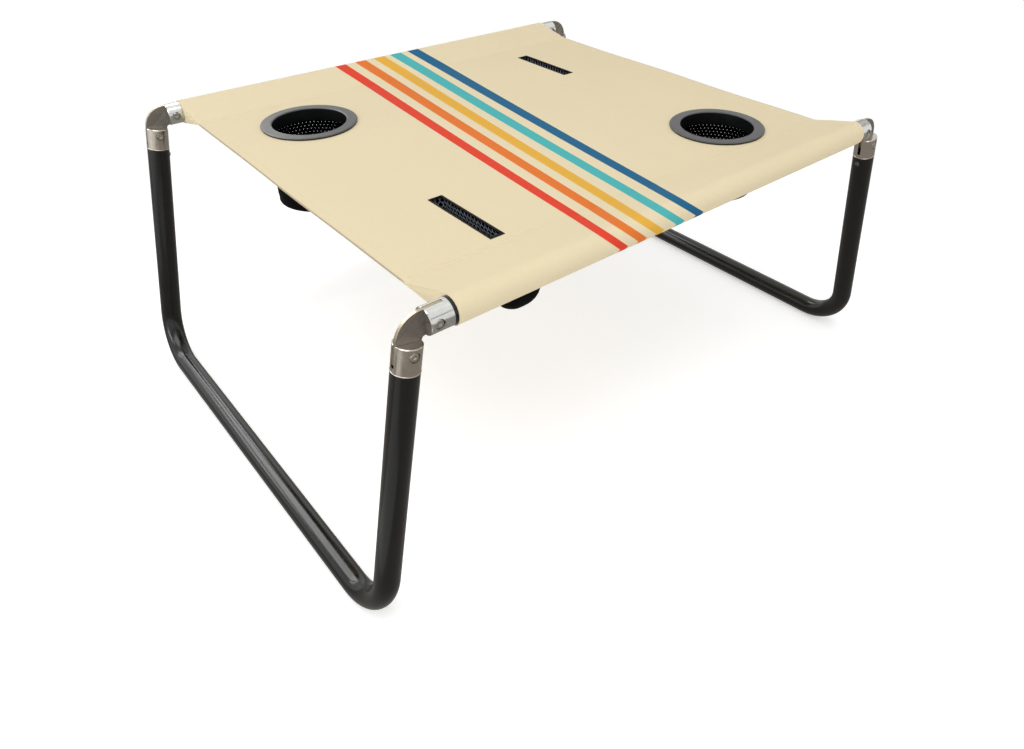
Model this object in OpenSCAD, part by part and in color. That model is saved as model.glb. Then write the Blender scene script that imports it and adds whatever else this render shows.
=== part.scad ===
/* [Main sizes] */

// Outside width of the frame across the two rails, front to back
frame_width = 533; // [430:1:650]

// Distance between the two leg axes where they meet the rail axes
leg_spacing = 580; // [480:1:700]

// Height of the rail axes above the floor
rail_height = 292.9; // [240:0.1:380]

// How far each leg leans outward from upright, in degrees
splay = 11.5; // [6:0.5:16]

/* [Tube frame] */

// Outside diameter of the rails and legs
tube_diameter = 22.2; // [19:0.1:25.4]

// Wall thickness of the tubes
tube_wall = 1.6; // [1.2:0.1:2]

// Bend radius of a leg's two corners, to the tube's centre line
bend_radius = 50; // [42:1:60]

/* [Corner fittings] */

// Distance from the meeting point of the axes to the face of a plug
plug_start = 11.5; // [11:0.1:12]

// Length of a rail plug that shows beyond its rail
rail_plug_length = 19.5; // [19.5:0.1:22]

// Length of a leg plug that shows above its leg tube
leg_plug_length = 22.5; // [21:0.1:25]

// Length of the spigot that a plug pushes into its tube
spigot_length = 24; // [20:0.5:30]

// Gap between a spigot and the bore of its tube
spigot_gap = 0.1; // [0.05:0.01:0.15]

// Length left whole at the tube end of a rail plug, past its slot
rail_plug_band = 3.4; // [3.2:0.1:3.5]

// Length left whole at the tube end of a leg plug, past its slot
leg_plug_band = 4.5; // [3:0.1:5]

// Bevel on the outer edges of a plug
plug_bevel = 0.6; // [0.4:0.1:0.8]

// Distance from the meeting point of the axes to each pivot
pivot_reach = 18.5; // [18.3:0.1:18.6]

// Thickness of a link plate
link_thickness = 3; // [2.6:0.1:3.2]

// Gap on each face of a link plate inside its slots
link_side_gap = 0.15; // [0.1:0.01:0.2]

// Radius of the round outer edge of a link plate
link_arc_radius = 22; // [21.6:0.1:22.4]

// Radius of a link plate around each pivot
link_eye_radius = 8.6; // [8:0.1:8.6]

// Depth of a link plate's outer edge below the tube surface
link_edge_inset = 0.2; // [0.1:0.1:0.4]

// Diameter of the pivot pins
pin_diameter = 5; // [4.6:0.1:5.4]

// Gap all round a pivot pin in its link plate
pin_running_gap = 0.05; // [0.02:0.01:0.09]

// Diameter of a pivot pin's heads
pin_head_diameter = 8; // [7.6:0.1:8.4]

// Height of a pivot pin's head
pin_head_height = 1.7; // [1.4:0.1:1.9]

// Distance from the tube axis to the seat of a pin head
pin_seat_reach = 8.6; // [8.4:0.1:8.8]

// Gap all round a pin head in its recess
pin_head_gap = 0.3; // [0.2:0.05:0.4]

// Width across the flats of the hexagon socket in a pin head
pin_socket_width = 3; // [2.5:0.1:3.4]

// Depth of the hexagon socket in a pin head
pin_socket_depth = 1; // [0.7:0.1:1.1]

// Diameter of the rivets that hold the plugs in the tubes
rivet_diameter = 3.2; // [2.8:0.1:3.6]

// Length of a rivet below the tube surface
rivet_length = 6; // [5:0.1:7]

// Distance from the end of a tube to its rivet
rivet_setback = 7; // [6:0.5:9]

// Diameter of a leg rivet's head
rivet_head_diameter = 5.4; // [4.8:0.1:6]

// Height of a leg rivet's head above its flat seat
rivet_head_height = 1.3; // [1:0.1:1.6]

// Depth of the flat seat for a leg rivet's head
rivet_seat_depth = 0.4; // [0.35:0.05:0.5]

// Depth of a rail rivet's flush end below the tube surface
rail_rivet_inset = 0.2; // [0.15:0.05:0.3]

/* [Sling] */

// Reach of the cloth's side edges beyond the ends of the rails
sling_overhang = 3; // [1:0.5:8]

// Distance from a leg axis to the end of the cloth sleeve on its rail
sleeve_end_reach = 32.2; // [31.8:0.1:34]

// Thickness of the cloth panel, hems included
panel_thickness = 1.2; // [1:0.1:1.6]

// Distance from a rail's axis to the seam of its sleeve
seam_reach = 49; // [40:0.5:60]

// Thickness of the single cloth round a rail
sleeve_thickness = 0.85; // [0.7:0.05:1]

// Gap between a rail and the sleeve round it
sleeve_gap = 0.15; // [0.1:0.01:0.2]

// Length of the solid seam where the two layers of a sleeve join
seam_length = 8; // [6:0.5:10]

// How far the cut-outs in the cloth sit left of the frame's middle
cutout_shift_left = 4.5; // [0:0.5:6]

// How far the cut-outs in the cloth sit forward of the frame's middle
cutout_shift_front = 10; // [0:0.5:11]

/* [Cup holders] */

// Distance of a cup holder's axis from the cloth's side edge, without the shift
cup_from_side = 97; // [92:1:112]

// Distance of a cup holder's axis from the seam of the sleeve, without the shift
cup_from_seam = 63.4; // [61.4:0.2:76.4]

// Diameter of a cup holder's opening
cup_opening_diameter = 78; // [70:0.5:80]

// Diameter of the flange round a cup holder
cup_flange_diameter = 101; // [98:0.5:102]

// Thickness of the flange that lies on the cloth
cup_flange_thickness = 2.5; // [2:0.1:3]

// Bevel on the flange's edges
cup_flange_bevel = 1; // [0.6:0.1:1.2]

// Wall thickness of the cup holder's neck
cup_neck_wall = 2.2; // [1.8:0.1:2.4]

// Depth of the neck below the top of the flange
cup_neck_depth = 14; // [12:0.5:18]

// Gap between the neck and the cloth, bag and clamp ring round it
cup_neck_gap = 0.2; // [0.1:0.05:0.3]

// Diameter of a mesh bag
bag_diameter = 94.6; // [94:0.2:97]

// Depth of a mesh bag below the cloth's lower face
bag_depth = 82; // [70:1:110]

// Thickness of a bag's mesh wall
bag_wall = 1.2; // [1:0.1:1.4]

// Thickness of the hem that the clamp ring holds
bag_hem = 0.8; // [0.6:0.1:1]

// Radius between a bag's wall and its bottom
bag_bottom_radius = 4; // [3:0.5:8]

// Thickness of the clamp ring below the cloth
clamp_thickness = 2.2; // [1.8:0.1:2.6]

// Gap between the clamp ring and the wall of the bag
clamp_side_gap = 0.6; // [0.4:0.1:1]

/* [Slots and pockets] */

// Distance of a slot's middle from the cloth's side edge, without the shift
slot_from_side = 100; // [92:1:112]

// Distance of a slot's middle from the seam of the sleeve, without the shift
slot_from_seam = 68.4; // [66.4:0.2:76.4]

// Length of a slot's bound edge
slot_length = 92; // [80:1:100]

// Width of a slot's bound edge
slot_width = 15; // [13:0.5:18]

// Width of the binding that shows round a slot
binding_width = 2; // [1.5:0.1:2.2]

// Depth that the binding reaches over the cloth's edge
binding_lap = 1; // [0.8:0.1:1.2]

// Thickness of the binding above and below the cloth
binding_thickness = 0.6; // [0.5:0.1:0.8]

// Length of a mesh pocket
pocket_length = 138; // [120:1:140]

// Width of a mesh pocket
pocket_width = 40; // [30:1:44]

// Depth of a mesh pocket below the cloth's lower face
pocket_depth = 66; // [60:1:100]

// Thickness of a pocket's mesh wall
pocket_wall = 1.2; // [1:0.1:1.4]

// Width of the pocket's mouth round the binding
pocket_mouth_margin = 3; // [2:0.5:4]

// Height of the straight rim at a pocket's mouth
pocket_rim = 2; // [1:0.5:3]

// Height over which a pocket opens out below its rim
pocket_shoulder = 14; // [12:1:20]

// Height over which a pocket draws in to its bottom
pocket_heel = 14; // [10:1:20]

// Length of a pocket's flat bottom
pocket_foot_length = 112; // [100:1:118]

// Width of a pocket's flat bottom
pocket_foot_width = 22; // [16:1:28]

/* [Hidden] */

// Extra length of every cutting shape beyond the face that it cuts
overrun = 1;

// Smoothness of round parts
$fn = 96;

tube_r = tube_diameter / 2;
bore_r = tube_r - tube_wall;
spigot_r = bore_r - spigot_gap;
rail_y = frame_width / 2 - tube_r;
rail_end_x = leg_spacing / 2 - plug_start - rail_plug_length;
sling_half_width = rail_end_x + sling_overhang;
leg_tube_start = plug_start + leg_plug_length;
leg_reach = (rail_height - tube_r) / cos(splay);
slot_gap_width = link_thickness + 2 * link_side_gap;
pin_r = pin_diameter / 2;
pin_head_r = pin_head_diameter / 2;
recess_r = pin_head_r + pin_head_gap;
rivet_r = rivet_diameter / 2;
rivet_head_r = rivet_head_diameter / 2;

// Turn about a tube's axis that puts a rivet hole on its lower side
rivet_below = 180;

panel_top = rail_height + panel_thickness / 2;
panel_bottom = rail_height - panel_thickness / 2;
sleeve_bore_r = tube_r + sleeve_gap;
sleeve_r = sleeve_bore_r + sleeve_thickness;
sleeve_half_length = leg_spacing / 2 - sleeve_end_reach;
sleeve_cut_y = rail_y - sleeve_r;
sleeve_outer_y = rail_y + 2 * sleeve_r;
seam_y = rail_y - seam_reach;

cup_reach_x = sling_half_width - cup_from_side;
cup_reach_y = seam_y - cup_from_seam;
cup_opening_r = cup_opening_diameter / 2;
cup_flange_r = cup_flange_diameter / 2;
cup_neck_r = cup_opening_r + cup_neck_wall;
cup_hole_r = cup_neck_r + cup_neck_gap;
cup_top = panel_top + cup_flange_thickness;
bag_r = bag_diameter / 2;
bag_inner_r = bag_r - bag_wall;
bag_bottom = panel_bottom - bag_depth;
bag_inner_bottom_radius = bag_bottom_radius - bag_wall;
clamp_r = bag_inner_r - clamp_side_gap;

slot_reach_x = sling_half_width - slot_from_side;
slot_reach_y = seam_y - slot_from_seam;
pocket_bottom = panel_bottom - pocket_depth;
pocket_mouth_width = slot_width + 2 * pocket_mouth_margin;
pocket_mouth_length = slot_length + 2 * pocket_mouth_margin;

plate_edge = tube_r - link_edge_inset;
arc_drop = link_arc_radius - plate_edge;
arc_centre_x = arc_drop * (1 - sin(splay)) / cos(splay);

// Direction square to the line that halves the angle between a rail and its leg
fold_line = [1 + sin(splay), cos(splay)];

// Number of straight steps in a link plate's outer arc and round its eyes
arc_steps = 28;
eye_steps = 12;

colour_tube = [0.03, 0.03, 0.03];
colour_steel = [0.75, 0.74, 0.71];
colour_plate = [0.45, 0.43, 0.40];
colour_cloth = [0.91, 0.85, 0.71];
colour_ring = [0.28, 0.29, 0.30];
colour_mesh = [0.05, 0.05, 0.05];

// Placement of shapes at the four corners, side -1 is left and +1 is right

module at_side(side) {
    if (side > 0) mirror([1, 0, 0]) children();
    else children();
}

module at_corner(side, end) {
    at_side(side)
        translate([-leg_spacing / 2, end * rail_y, rail_height]) children();
}

module along_leg() {
    rotate([0, 90 + splay, 0]) children();
}

module at_cup(side) {
    translate([-cutout_shift_left, -cutout_shift_front, 0])
        translate([side * cup_reach_x, -side * cup_reach_y, 0]) children();
}

module at_slot(side) {
    translate([-cutout_shift_left, -cutout_shift_front, 0])
        translate([side * slot_reach_x, side * slot_reach_y, 0]) children();
}

module bar_x(from, length, radius) {
    translate([from, 0, 0]) rotate([0, 90, 0]) cylinder(h = length, r = radius);
}

module bar_y(reach, radius) {
    rotate([90, 0, 0]) cylinder(h = 2 * reach, r = radius, center = true);
}

// Rails

module rail(end) {
    color(colour_tube)
        translate([0, end * rail_y, rail_height])
            difference() {
                bar_x(-rail_end_x, 2 * rail_end_x, tube_r);
                bar_x(-rail_end_x - overrun, 2 * (rail_end_x + overrun), bore_r);
                for (side = [-1, 1])
                    translate([side * (rail_end_x - rivet_setback), 0, -tube_r - overrun])
                        cylinder(h = tube_r, r = rivet_r);
            }
}

// Slotted plugs, drawn with the tube's axis along X

module plug_body(length) {
    shoulder = plug_start + length;
    rotate([0, 90, 0])
        rotate_extrude()
            polygon([
                [0, plug_start], [tube_r - plug_bevel, plug_start],
                [tube_r, plug_start + plug_bevel], [tube_r, shoulder],
                [spigot_r, shoulder], [spigot_r, shoulder + spigot_length - plug_bevel],
                [spigot_r - plug_bevel, shoulder + spigot_length], [0, shoulder + spigot_length]
            ]);
}

module plug(length, band, rivet_turn) {
    color(colour_steel)
        difference() {
            plug_body(length);
            translate([plug_start - overrun, -slot_gap_width / 2, -tube_r - overrun])
                cube([length - band + overrun, slot_gap_width, 2 * (tube_r + overrun)]);
            translate([pivot_reach, 0, 0]) {
                bar_y(tube_r + overrun, pin_r);
                for (turn = [-90, 90])
                    rotate([turn, 0, 0])
                        translate([0, 0, pin_seat_reach]) cylinder(h = tube_r, r = recess_r);
            }
            translate([plug_start + length + rivet_setback, 0, 0])
                rotate([rivet_turn, 0, 0])
                    translate([0, 0, tube_r - rivet_length]) cylinder(h = rivet_length, r = rivet_r);
        }
}

module rail_plug(side, end) {
    at_corner(side, end) plug(rail_plug_length, rail_plug_band, rivet_below);
}

module leg_plug(side, end) {
    at_corner(side, end) along_leg() plug(leg_plug_length, leg_plug_band, 0);
}

module rail_rivets() {
    color(colour_steel)
        for (side = [-1, 1], end = [-1, 1])
            translate([side * (rail_end_x - rivet_setback), end * rail_y, rail_height])
                translate([0, 0, rail_rivet_inset - tube_r])
                    cylinder(h = rivet_length - rail_rivet_inset, r = rivet_r);
}

// Pivot pins, with a domed head and a hexagon socket at each end

module pin_head() {
    difference() {
        rotate_extrude()
            polygon([
                [0, 0], [pin_head_r, 0], [pin_head_r, pin_head_height / 2],
                [pin_head_r - pin_head_height / 2, pin_head_height], [0, pin_head_height]
            ]);
        translate([0, 0, pin_head_height - pin_socket_depth])
            cylinder(h = pin_head_height, r = pin_socket_width / sqrt(3), $fn = 6);
    }
}

module pivot_pin() {
    translate([pivot_reach, 0, 0])
        union() {
            bar_y(pin_seat_reach, pin_r);
            for (turn = [-90, 90])
                rotate([turn, 0, 0])
                    translate([0, 0, pin_seat_reach]) pin_head();
        }
}

module rail_pins() {
    color(colour_steel)
        for (side = [-1, 1], end = [-1, 1])
            at_corner(side, end) pivot_pin();
}

module leg_pins(side) {
    color(colour_steel)
        for (end = [-1, 1])
            at_corner(side, end) along_leg() pivot_pin();
}

// Link plates that join each rail plug to its leg plug

function arc(centre, radius, from, to, steps) = [
    for (i = [0:steps])
        let (angle = from + (to - from) * i / steps)
            centre + radius * [cos(angle), sin(angle)]
];

function across(point) = point - 2 * (point * fold_line) / (fold_line * fold_line) * fold_line;

module link_outline() {
    arm = concat(
        arc([pivot_reach, 0], link_eye_radius, -90, 0, eye_steps),
        [[pivot_reach + link_eye_radius, plate_edge]]
    );
    polygon(concat(
        [[arc_centre_x, -arc_drop]],
        arm,
        arc([arc_centre_x, -arc_drop], link_arc_radius, 90, 180 - splay, arc_steps),
        [for (i = [len(arm) - 1:-1:0]) across(arm[i])]
    ));
}

module link(side, end) {
    color(colour_plate)
        at_corner(side, end)
            difference() {
                rotate([90, 0, 0])
                    linear_extrude(height = link_thickness, center = true) link_outline();
                translate([pivot_reach, 0, 0]) bar_y(link_thickness, pin_r + pin_running_gap);
                along_leg()
                    translate([pivot_reach, 0, 0]) bar_y(link_thickness, pin_r + pin_running_gap);
            }
}

// Legs, each one tube bent to a U

module leg_sweep(radius, extra) {
    post = leg_reach - bend_radius - leg_tube_start;
    bend_y = rail_y - bend_radius;
    for (end = [-1, 1])
        mirror([0, end < 0 ? 1 : 0, 0]) {
            translate([0, rail_y, 0]) bar_x(leg_tube_start - extra, post + extra, radius);
            translate([leg_reach - bend_radius, bend_y, 0])
                rotate_extrude(angle = 90) translate([bend_radius, 0]) circle(r = radius);
        }
    translate([leg_reach, 0, 0]) bar_y(bend_y, radius);
}

module leg_tube(side) {
    color(colour_tube)
        at_side(side)
            translate([-leg_spacing / 2, 0, rail_height])
                along_leg()
                    difference() {
                        leg_sweep(tube_r, 0);
                        leg_sweep(bore_r, overrun);
                        for (end = [-1, 1])
                            translate([leg_tube_start + rivet_setback, end * rail_y, 0]) {
                                cylinder(h = tube_r, r = rivet_r);
                                translate([0, 0, tube_r - rivet_seat_depth])
                                    cylinder(h = tube_r, r = rivet_head_r);
                            }
                    }
}

module leg_rivets(side) {
    color(colour_steel)
        for (end = [-1, 1])
            at_corner(side, end)
                along_leg()
                    translate([leg_tube_start + rivet_setback, 0, tube_r - rivet_length])
                        rotate_extrude()
                            polygon([
                                [0, 0], [rivet_r, 0], [rivet_r, rivet_length - rivet_seat_depth],
                                [rivet_head_r, rivet_length - rivet_seat_depth],
                                [rivet_head_r, rivet_length - rivet_seat_depth + rivet_head_height / 2],
                                [rivet_r, rivet_length - rivet_seat_depth + rivet_head_height],
                                [0, rivet_length - rivet_seat_depth + rivet_head_height]
                            ]);
}

// Cloth: a flat panel whose front and back edges open into a sleeve round each rail

function tangent_lift(radius, reach) = acos(radius / reach);

module teardrop(radius, tip_reach, tip_half_height, extra) {
    lift = tangent_lift(radius, tip_reach);
    half_length = sling_half_width + extra;
    rotate([90, 0, 90])
        linear_extrude(height = 2 * half_length, center = true)
            polygon([
                [-radius * cos(lift), radius * sin(lift)], [-tip_reach, tip_half_height],
                [-tip_reach, -tip_half_height], [-radius * cos(lift), -radius * sin(lift)],
                [0, 0]
            ]);
    rotate([0, 90, 0]) cylinder(h = 2 * half_length, r = radius, center = true);
}

module sleeve(end) {
    color(colour_cloth)
        mirror([0, end < 0 ? 1 : 0, 0])
            difference() {
                translate([0, rail_y, rail_height])
                    teardrop(sleeve_r, seam_reach, panel_thickness / 2, 0);
                translate([0, rail_y, rail_height])
                    teardrop(sleeve_bore_r, seam_reach - seam_length, panel_thickness / 8, overrun);
                for (side = [-1, 1])
                    at_side(side) sleeve_corner_cut();
            }
}

module sleeve_corner_cut() {
    outside = sling_half_width + overrun;
    translate([0, 0, rail_height - 2 * sleeve_r])
        linear_extrude(height = 4 * sleeve_r)
            polygon([
                [-sling_half_width, seam_y], [-sleeve_half_length, sleeve_cut_y],
                [-sleeve_half_length, sleeve_outer_y], [-outside, sleeve_outer_y], [-outside, seam_y]
            ]);
}

module sling() {
    color(colour_cloth)
        difference() {
            translate([-sling_half_width, -seam_y, panel_bottom])
                cube([2 * sling_half_width, 2 * seam_y, panel_thickness]);
            for (side = [-1, 1]) {
                at_cup(side)
                    translate([0, 0, panel_bottom - overrun])
                        cylinder(h = panel_thickness + 2 * overrun, r = cup_hole_r);
                at_slot(side)
                    slot_block(binding_lap, panel_bottom - overrun, panel_top + overrun);
            }
        }
}

// Cup holders

module cup_ring(side) {
    color(colour_ring)
        at_cup(side)
            rotate_extrude()
                polygon([
                    [cup_opening_r, cup_top - cup_neck_depth], [cup_neck_r, cup_top - cup_neck_depth],
                    [cup_neck_r, panel_top], [cup_flange_r, panel_top],
                    [cup_flange_r, cup_top - cup_flange_bevel], [cup_flange_r - cup_flange_bevel, cup_top],
                    [cup_opening_r + cup_flange_bevel, cup_top], [cup_opening_r, cup_top - cup_flange_bevel]
                ]);
}

module cup_clamp_ring(side) {
    color(colour_ring)
        at_cup(side)
            rotate_extrude()
                translate([cup_hole_r, panel_bottom - bag_hem - clamp_thickness])
                    square([clamp_r - cup_hole_r, clamp_thickness]);
}

module bag_fill(radius, bottom, corner, top) {
    union() {
        translate([0, 0, bottom + corner]) cylinder(h = top - bottom - corner, r = radius);
        translate([0, 0, bottom]) cylinder(h = corner, r = radius - corner);
        translate([0, 0, bottom + corner])
            rotate_extrude() translate([radius - corner, 0]) circle(r = corner);
    }
}

module cup_bag(side) {
    color(colour_mesh)
        at_cup(side)
            union() {
                difference() {
                    bag_fill(bag_r, bag_bottom, bag_bottom_radius, panel_bottom);
                    bag_fill(bag_inner_r, bag_bottom + bag_wall, bag_inner_bottom_radius,
                        panel_bottom + overrun);
                }
                translate([0, 0, panel_bottom - bag_hem])
                    difference() {
                        cylinder(h = bag_hem, r = bag_r);
                        translate([0, 0, -overrun]) cylinder(h = bag_hem + 2 * overrun, r = cup_hole_r);
                    }
            }
}

// Bound slots and the pockets below them

module slot_block(inset, bottom, top) {
    translate([inset - slot_width / 2, inset - slot_length / 2, bottom])
        cube([slot_width - 2 * inset, slot_length - 2 * inset, top - bottom]);
}

module slot_binding(side) {
    color(colour_mesh)
        at_slot(side)
            difference() {
                union() {
                    slot_block(0, panel_top, panel_top + binding_thickness);
                    slot_block(binding_lap, panel_bottom, panel_top);
                    slot_block(0, panel_bottom - binding_thickness, panel_bottom);
                }
                slot_block(binding_width, panel_bottom - binding_thickness - overrun,
                    panel_top + binding_thickness + overrun);
            }
}

module pocket_prism(mouth, body, foot, inset, extra) {
    low = pocket_bottom + inset;
    shoulder = panel_bottom - pocket_rim - pocket_shoulder;
    linear_extrude(height = 2 * pocket_length, center = true)
        polygon([
            [mouth / 2 - inset, panel_bottom + extra], [mouth / 2 - inset, panel_bottom - pocket_rim],
            [body / 2 - inset, shoulder], [body / 2 - inset, low + pocket_heel],
            [foot / 2 - inset, low], [inset - foot / 2, low],
            [inset - body / 2, low + pocket_heel], [inset - body / 2, shoulder],
            [inset - mouth / 2, panel_bottom - pocket_rim], [inset - mouth / 2, panel_bottom + extra]
        ]);
}

module pocket_fill(inset, extra) {
    intersection() {
        rotate([90, 0, 0])
            pocket_prism(pocket_mouth_width, pocket_width, pocket_foot_width, inset, extra);
        rotate([90, 0, 90])
            pocket_prism(pocket_mouth_length, pocket_length, pocket_foot_length, inset, extra);
    }
}

module slot_pocket(side) {
    color(colour_mesh)
        at_slot(side)
            difference() {
                pocket_fill(0, 0);
                pocket_fill(pocket_wall, overrun);
            }
}

rail(-1);  // front_rail
rail(1);  // back_rail
rail_plug(-1, -1);  // front_left_rail_plug
rail_plug(-1, 1);  // back_left_rail_plug
rail_plug(1, -1);  // front_right_rail_plug
rail_plug(1, 1);  // back_right_rail_plug
rail_rivets();  // rail_plug_rivets
rail_pins();  // rail_pivot_pins
sling();
sleeve(-1);  // front_sleeve
sleeve(1);  // back_sleeve
cup_ring(-1);  // left_cup_ring
cup_ring(1);  // right_cup_ring
cup_clamp_ring(-1);  // left_cup_clamp_ring
cup_clamp_ring(1);  // right_cup_clamp_ring
cup_bag(-1);  // left_cup_bag
cup_bag(1);  // right_cup_bag
slot_binding(-1);  // left_slot_binding
slot_binding(1);  // right_slot_binding
slot_pocket(-1);  // left_slot_pocket
slot_pocket(1);  // right_slot_pocket
link(-1, -1);  // front_left_link
link(-1, 1);  // back_left_link
link(1, -1);  // front_right_link
link(1, 1);  // back_right_link
leg_tube(-1);  // left_leg_tube
leg_tube(1);  // right_leg_tube
leg_plug(-1, -1);  // front_left_leg_plug
leg_plug(-1, 1);  // back_left_leg_plug
leg_plug(1, -1);  // front_right_leg_plug
leg_plug(1, 1);  // back_right_leg_plug
leg_pins(-1);  // left_leg_pivot_pins
leg_pins(1);  // right_leg_pivot_pins
leg_rivets(-1);  // left_leg_rivets
leg_rivets(1);  // right_leg_rivets
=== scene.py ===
"""Folding beach table: cloth top on tube rails, U-shaped tube legs, cup holders and slot pockets.

Sizes are in millimetres in the classes and in metres in the meshes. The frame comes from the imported
solids: +X runs along the rails to the right, +Y to the back, +Z up, and the floor is at 0.
"""

import logging
import math
from dataclasses import dataclass, field
from enum import Enum
from functools import reduce
from typing import Callable, Dict, List, Sequence, Tuple, Union

import bmesh
import bpy
import numpy as np
from mathutils import Matrix, Vector
from mathutils.geometry import delaunay_2d_cdt


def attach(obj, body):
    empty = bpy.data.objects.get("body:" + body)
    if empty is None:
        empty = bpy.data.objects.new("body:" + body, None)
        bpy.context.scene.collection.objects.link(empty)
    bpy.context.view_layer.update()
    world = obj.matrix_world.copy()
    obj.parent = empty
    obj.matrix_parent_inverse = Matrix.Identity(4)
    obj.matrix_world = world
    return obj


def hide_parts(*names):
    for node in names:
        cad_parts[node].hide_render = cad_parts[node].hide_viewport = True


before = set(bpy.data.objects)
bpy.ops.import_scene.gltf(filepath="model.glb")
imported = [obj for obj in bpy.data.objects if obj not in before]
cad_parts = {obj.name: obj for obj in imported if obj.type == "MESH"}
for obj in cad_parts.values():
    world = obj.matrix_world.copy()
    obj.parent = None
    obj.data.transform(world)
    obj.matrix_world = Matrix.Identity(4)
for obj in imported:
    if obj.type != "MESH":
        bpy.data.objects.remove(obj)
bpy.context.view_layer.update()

LOG = logging.getLogger("beach_table")

# How far the middle between the cut-outs in the cloth lies from the frame's middle, in millimetres
CUTOUT_SHIFT = (-4.5, -10.0)

Flat = Tuple[float, float]
Point = Tuple[float, float, float]
Value = Union[float, int, bool, str, Sequence[float], bpy.types.NodeSocket, bpy.types.Node]
Owner = Union[bpy.types.Material, bpy.types.World]


# Small helpers


def metres(*values: float) -> Tuple[float, ...]:
    """Returns lengths in metres for lengths in millimetres."""
    return tuple(value / 1000 for value in values)


def circle(count: int) -> List[Flat]:
    """Returns the cosines and sines of angles spread evenly round a circle."""
    return [(math.cos(t), math.sin(t)) for t in np.linspace(0, math.tau, count, endpoint=False)]


def cutout_place(place: Flat, sign: int) -> Flat:
    """Finds the middle of a cup holder or a slot, which the other end has turned half round.

    Args:
        place: Place of the right one, without the shift that all of them share.
        sign: 1 for the right one, -1 for the left one.

    Returns:
        Its place along the rails and across the table, in millimetres.
    """
    return sign * place[0] + CUTOUT_SHIFT[0], sign * place[1] + CUTOUT_SHIFT[1]


def linear(code: str) -> Tuple[float, float, float, float]:
    """Turns an sRGB hex colour to linear light.

    Args:
        code: Six hex digits.

    Returns:
        Red, green, blue and alpha.
    """
    parts = [int(code[i : i + 2], 16) / 255 for i in (0, 2, 4)]
    light = [c / 12.92 if c <= 0.04045 else ((c + 0.055) / 1.055) ** 2.4 for c in parts]
    return light[0], light[1], light[2], 1.0


def add_node(
    owner: Owner, kind: str, inputs: Union[Sequence[Value], Dict[str, Value]] = (), **settings: Value
) -> bpy.types.Node:
    """Adds one node to a material or world, with its settings and links.

    Args:
        owner: The material or world whose node tree takes the node.
        kind: Blender's name of the node type, without the leading ShaderNode.
        inputs: Values for the inputs in use, in their order or by name. A socket is linked, and a node
            is linked by its first output in use.
        **settings: Properties of the node itself.

    Returns:
        The new node.
    """
    tree = owner.node_tree
    node = tree.nodes.new("ShaderNode" + kind)
    for name, value in settings.items():
        setattr(node, name, value)
    sockets = [socket for socket in node.inputs if socket.enabled]
    names = [socket.name for socket in sockets]
    for key, value in inputs.items() if isinstance(inputs, dict) else enumerate(inputs):
        socket = sockets[names.index(key) if isinstance(key, str) else key]
        if isinstance(value, bpy.types.Node):
            value = next(output for output in value.outputs if output.enabled)
        if isinstance(value, bpy.types.NodeSocket):
            tree.links.new(value, socket)
        else:
            socket.default_value = value
    return node


def new_material(name: str) -> bpy.types.Material:
    """Makes an empty node material.

    Args:
        name: Its name.

    Returns:
        The material.
    """
    material = bpy.data.materials.new(name)
    material.use_nodes = True
    material.node_tree.nodes.clear()
    return material


def close_material(material: bpy.types.Material, surface: bpy.types.Node) -> bpy.types.Material:
    """Links a shader to the material's output, and returns the material."""
    add_node(material, "OutputMaterial", {"Surface": surface})
    return material


class Side(Enum):
    """The two ends of the table."""

    LEFT = -1
    RIGHT = 1

    @property
    def label(self) -> str:
        """The word for it in the pieces' names."""
        return self.name.lower()


# Finishes


class Grain(Enum):
    """The way the marks run on worked steel, as the scale of their pattern along and across them."""

    BRUSHED = (0.03, 1.0, 1.0)
    BRUSHED_FAR = (0.02, 1.0, 1.0)
    POLISHED = (1.0, 1.0, 1.0)


@dataclass(frozen=True)
class PowderCoatedSteel:
    """Black gloss powder coat on steel tube, under a clear coat.

    The eye sees a near-black tube with long soft highlights, and up close the faint orange peel that
    the melted powder leaves.
    """

    name: str = "gloss_powder_coat_on_steel_tube"
    colour: str = "080808"
    light_colour: str = "121211"
    roughness: float = 0.22
    specular: float = 0.28
    coat: float = 0.35
    coat_roughness: float = 0.12
    peel_mm: float = 1.6
    grit_mm: float = 0.35
    wear_mm: float = 45.45

    def build(self) -> bpy.types.Material:
        """Builds the material.

        Returns:
            The material.
        """
        m = new_material(self.name)
        place = add_node(m, "TexCoord").outputs["Object"]
        peel = add_node(m, "TexNoise", {"Vector": place, "Scale": 1000 / self.peel_mm, "Detail": 2.0})
        grit = add_node(m, "TexNoise", {"Vector": place, "Scale": 1000 / self.grit_mm, "Detail": 1.0})
        wear = add_node(
            m, "TexNoise", {"Vector": place, "Scale": 1000 / self.wear_mm, "Detail": 5.0, "Roughness": 0.62}
        )
        rough = add_node(m, "MapRange", [wear, 0.3, 0.75, self.roughness - 0.05, self.roughness + 0.09])
        tint = add_node(m, "Mix", [wear, linear(self.colour), linear(self.light_colour)], data_type="RGBA")
        low = add_node(m, "Bump", {"Height": peel, "Strength": 0.10, "Distance": 0.00012})
        fine = add_node(m, "Bump", {"Height": grit, "Strength": 0.08, "Distance": 0.00004, "Normal": low})
        paint = {
            "Base Color": tint,
            "Roughness": rough,
            "Normal": fine,
            "IOR": 1.5,
            "Specular IOR Level": self.specular,
            "Coat Weight": self.coat,
            "Coat Roughness": self.coat_roughness,
        }
        return close_material(m, add_node(m, "BsdfPrincipled", paint))


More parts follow.
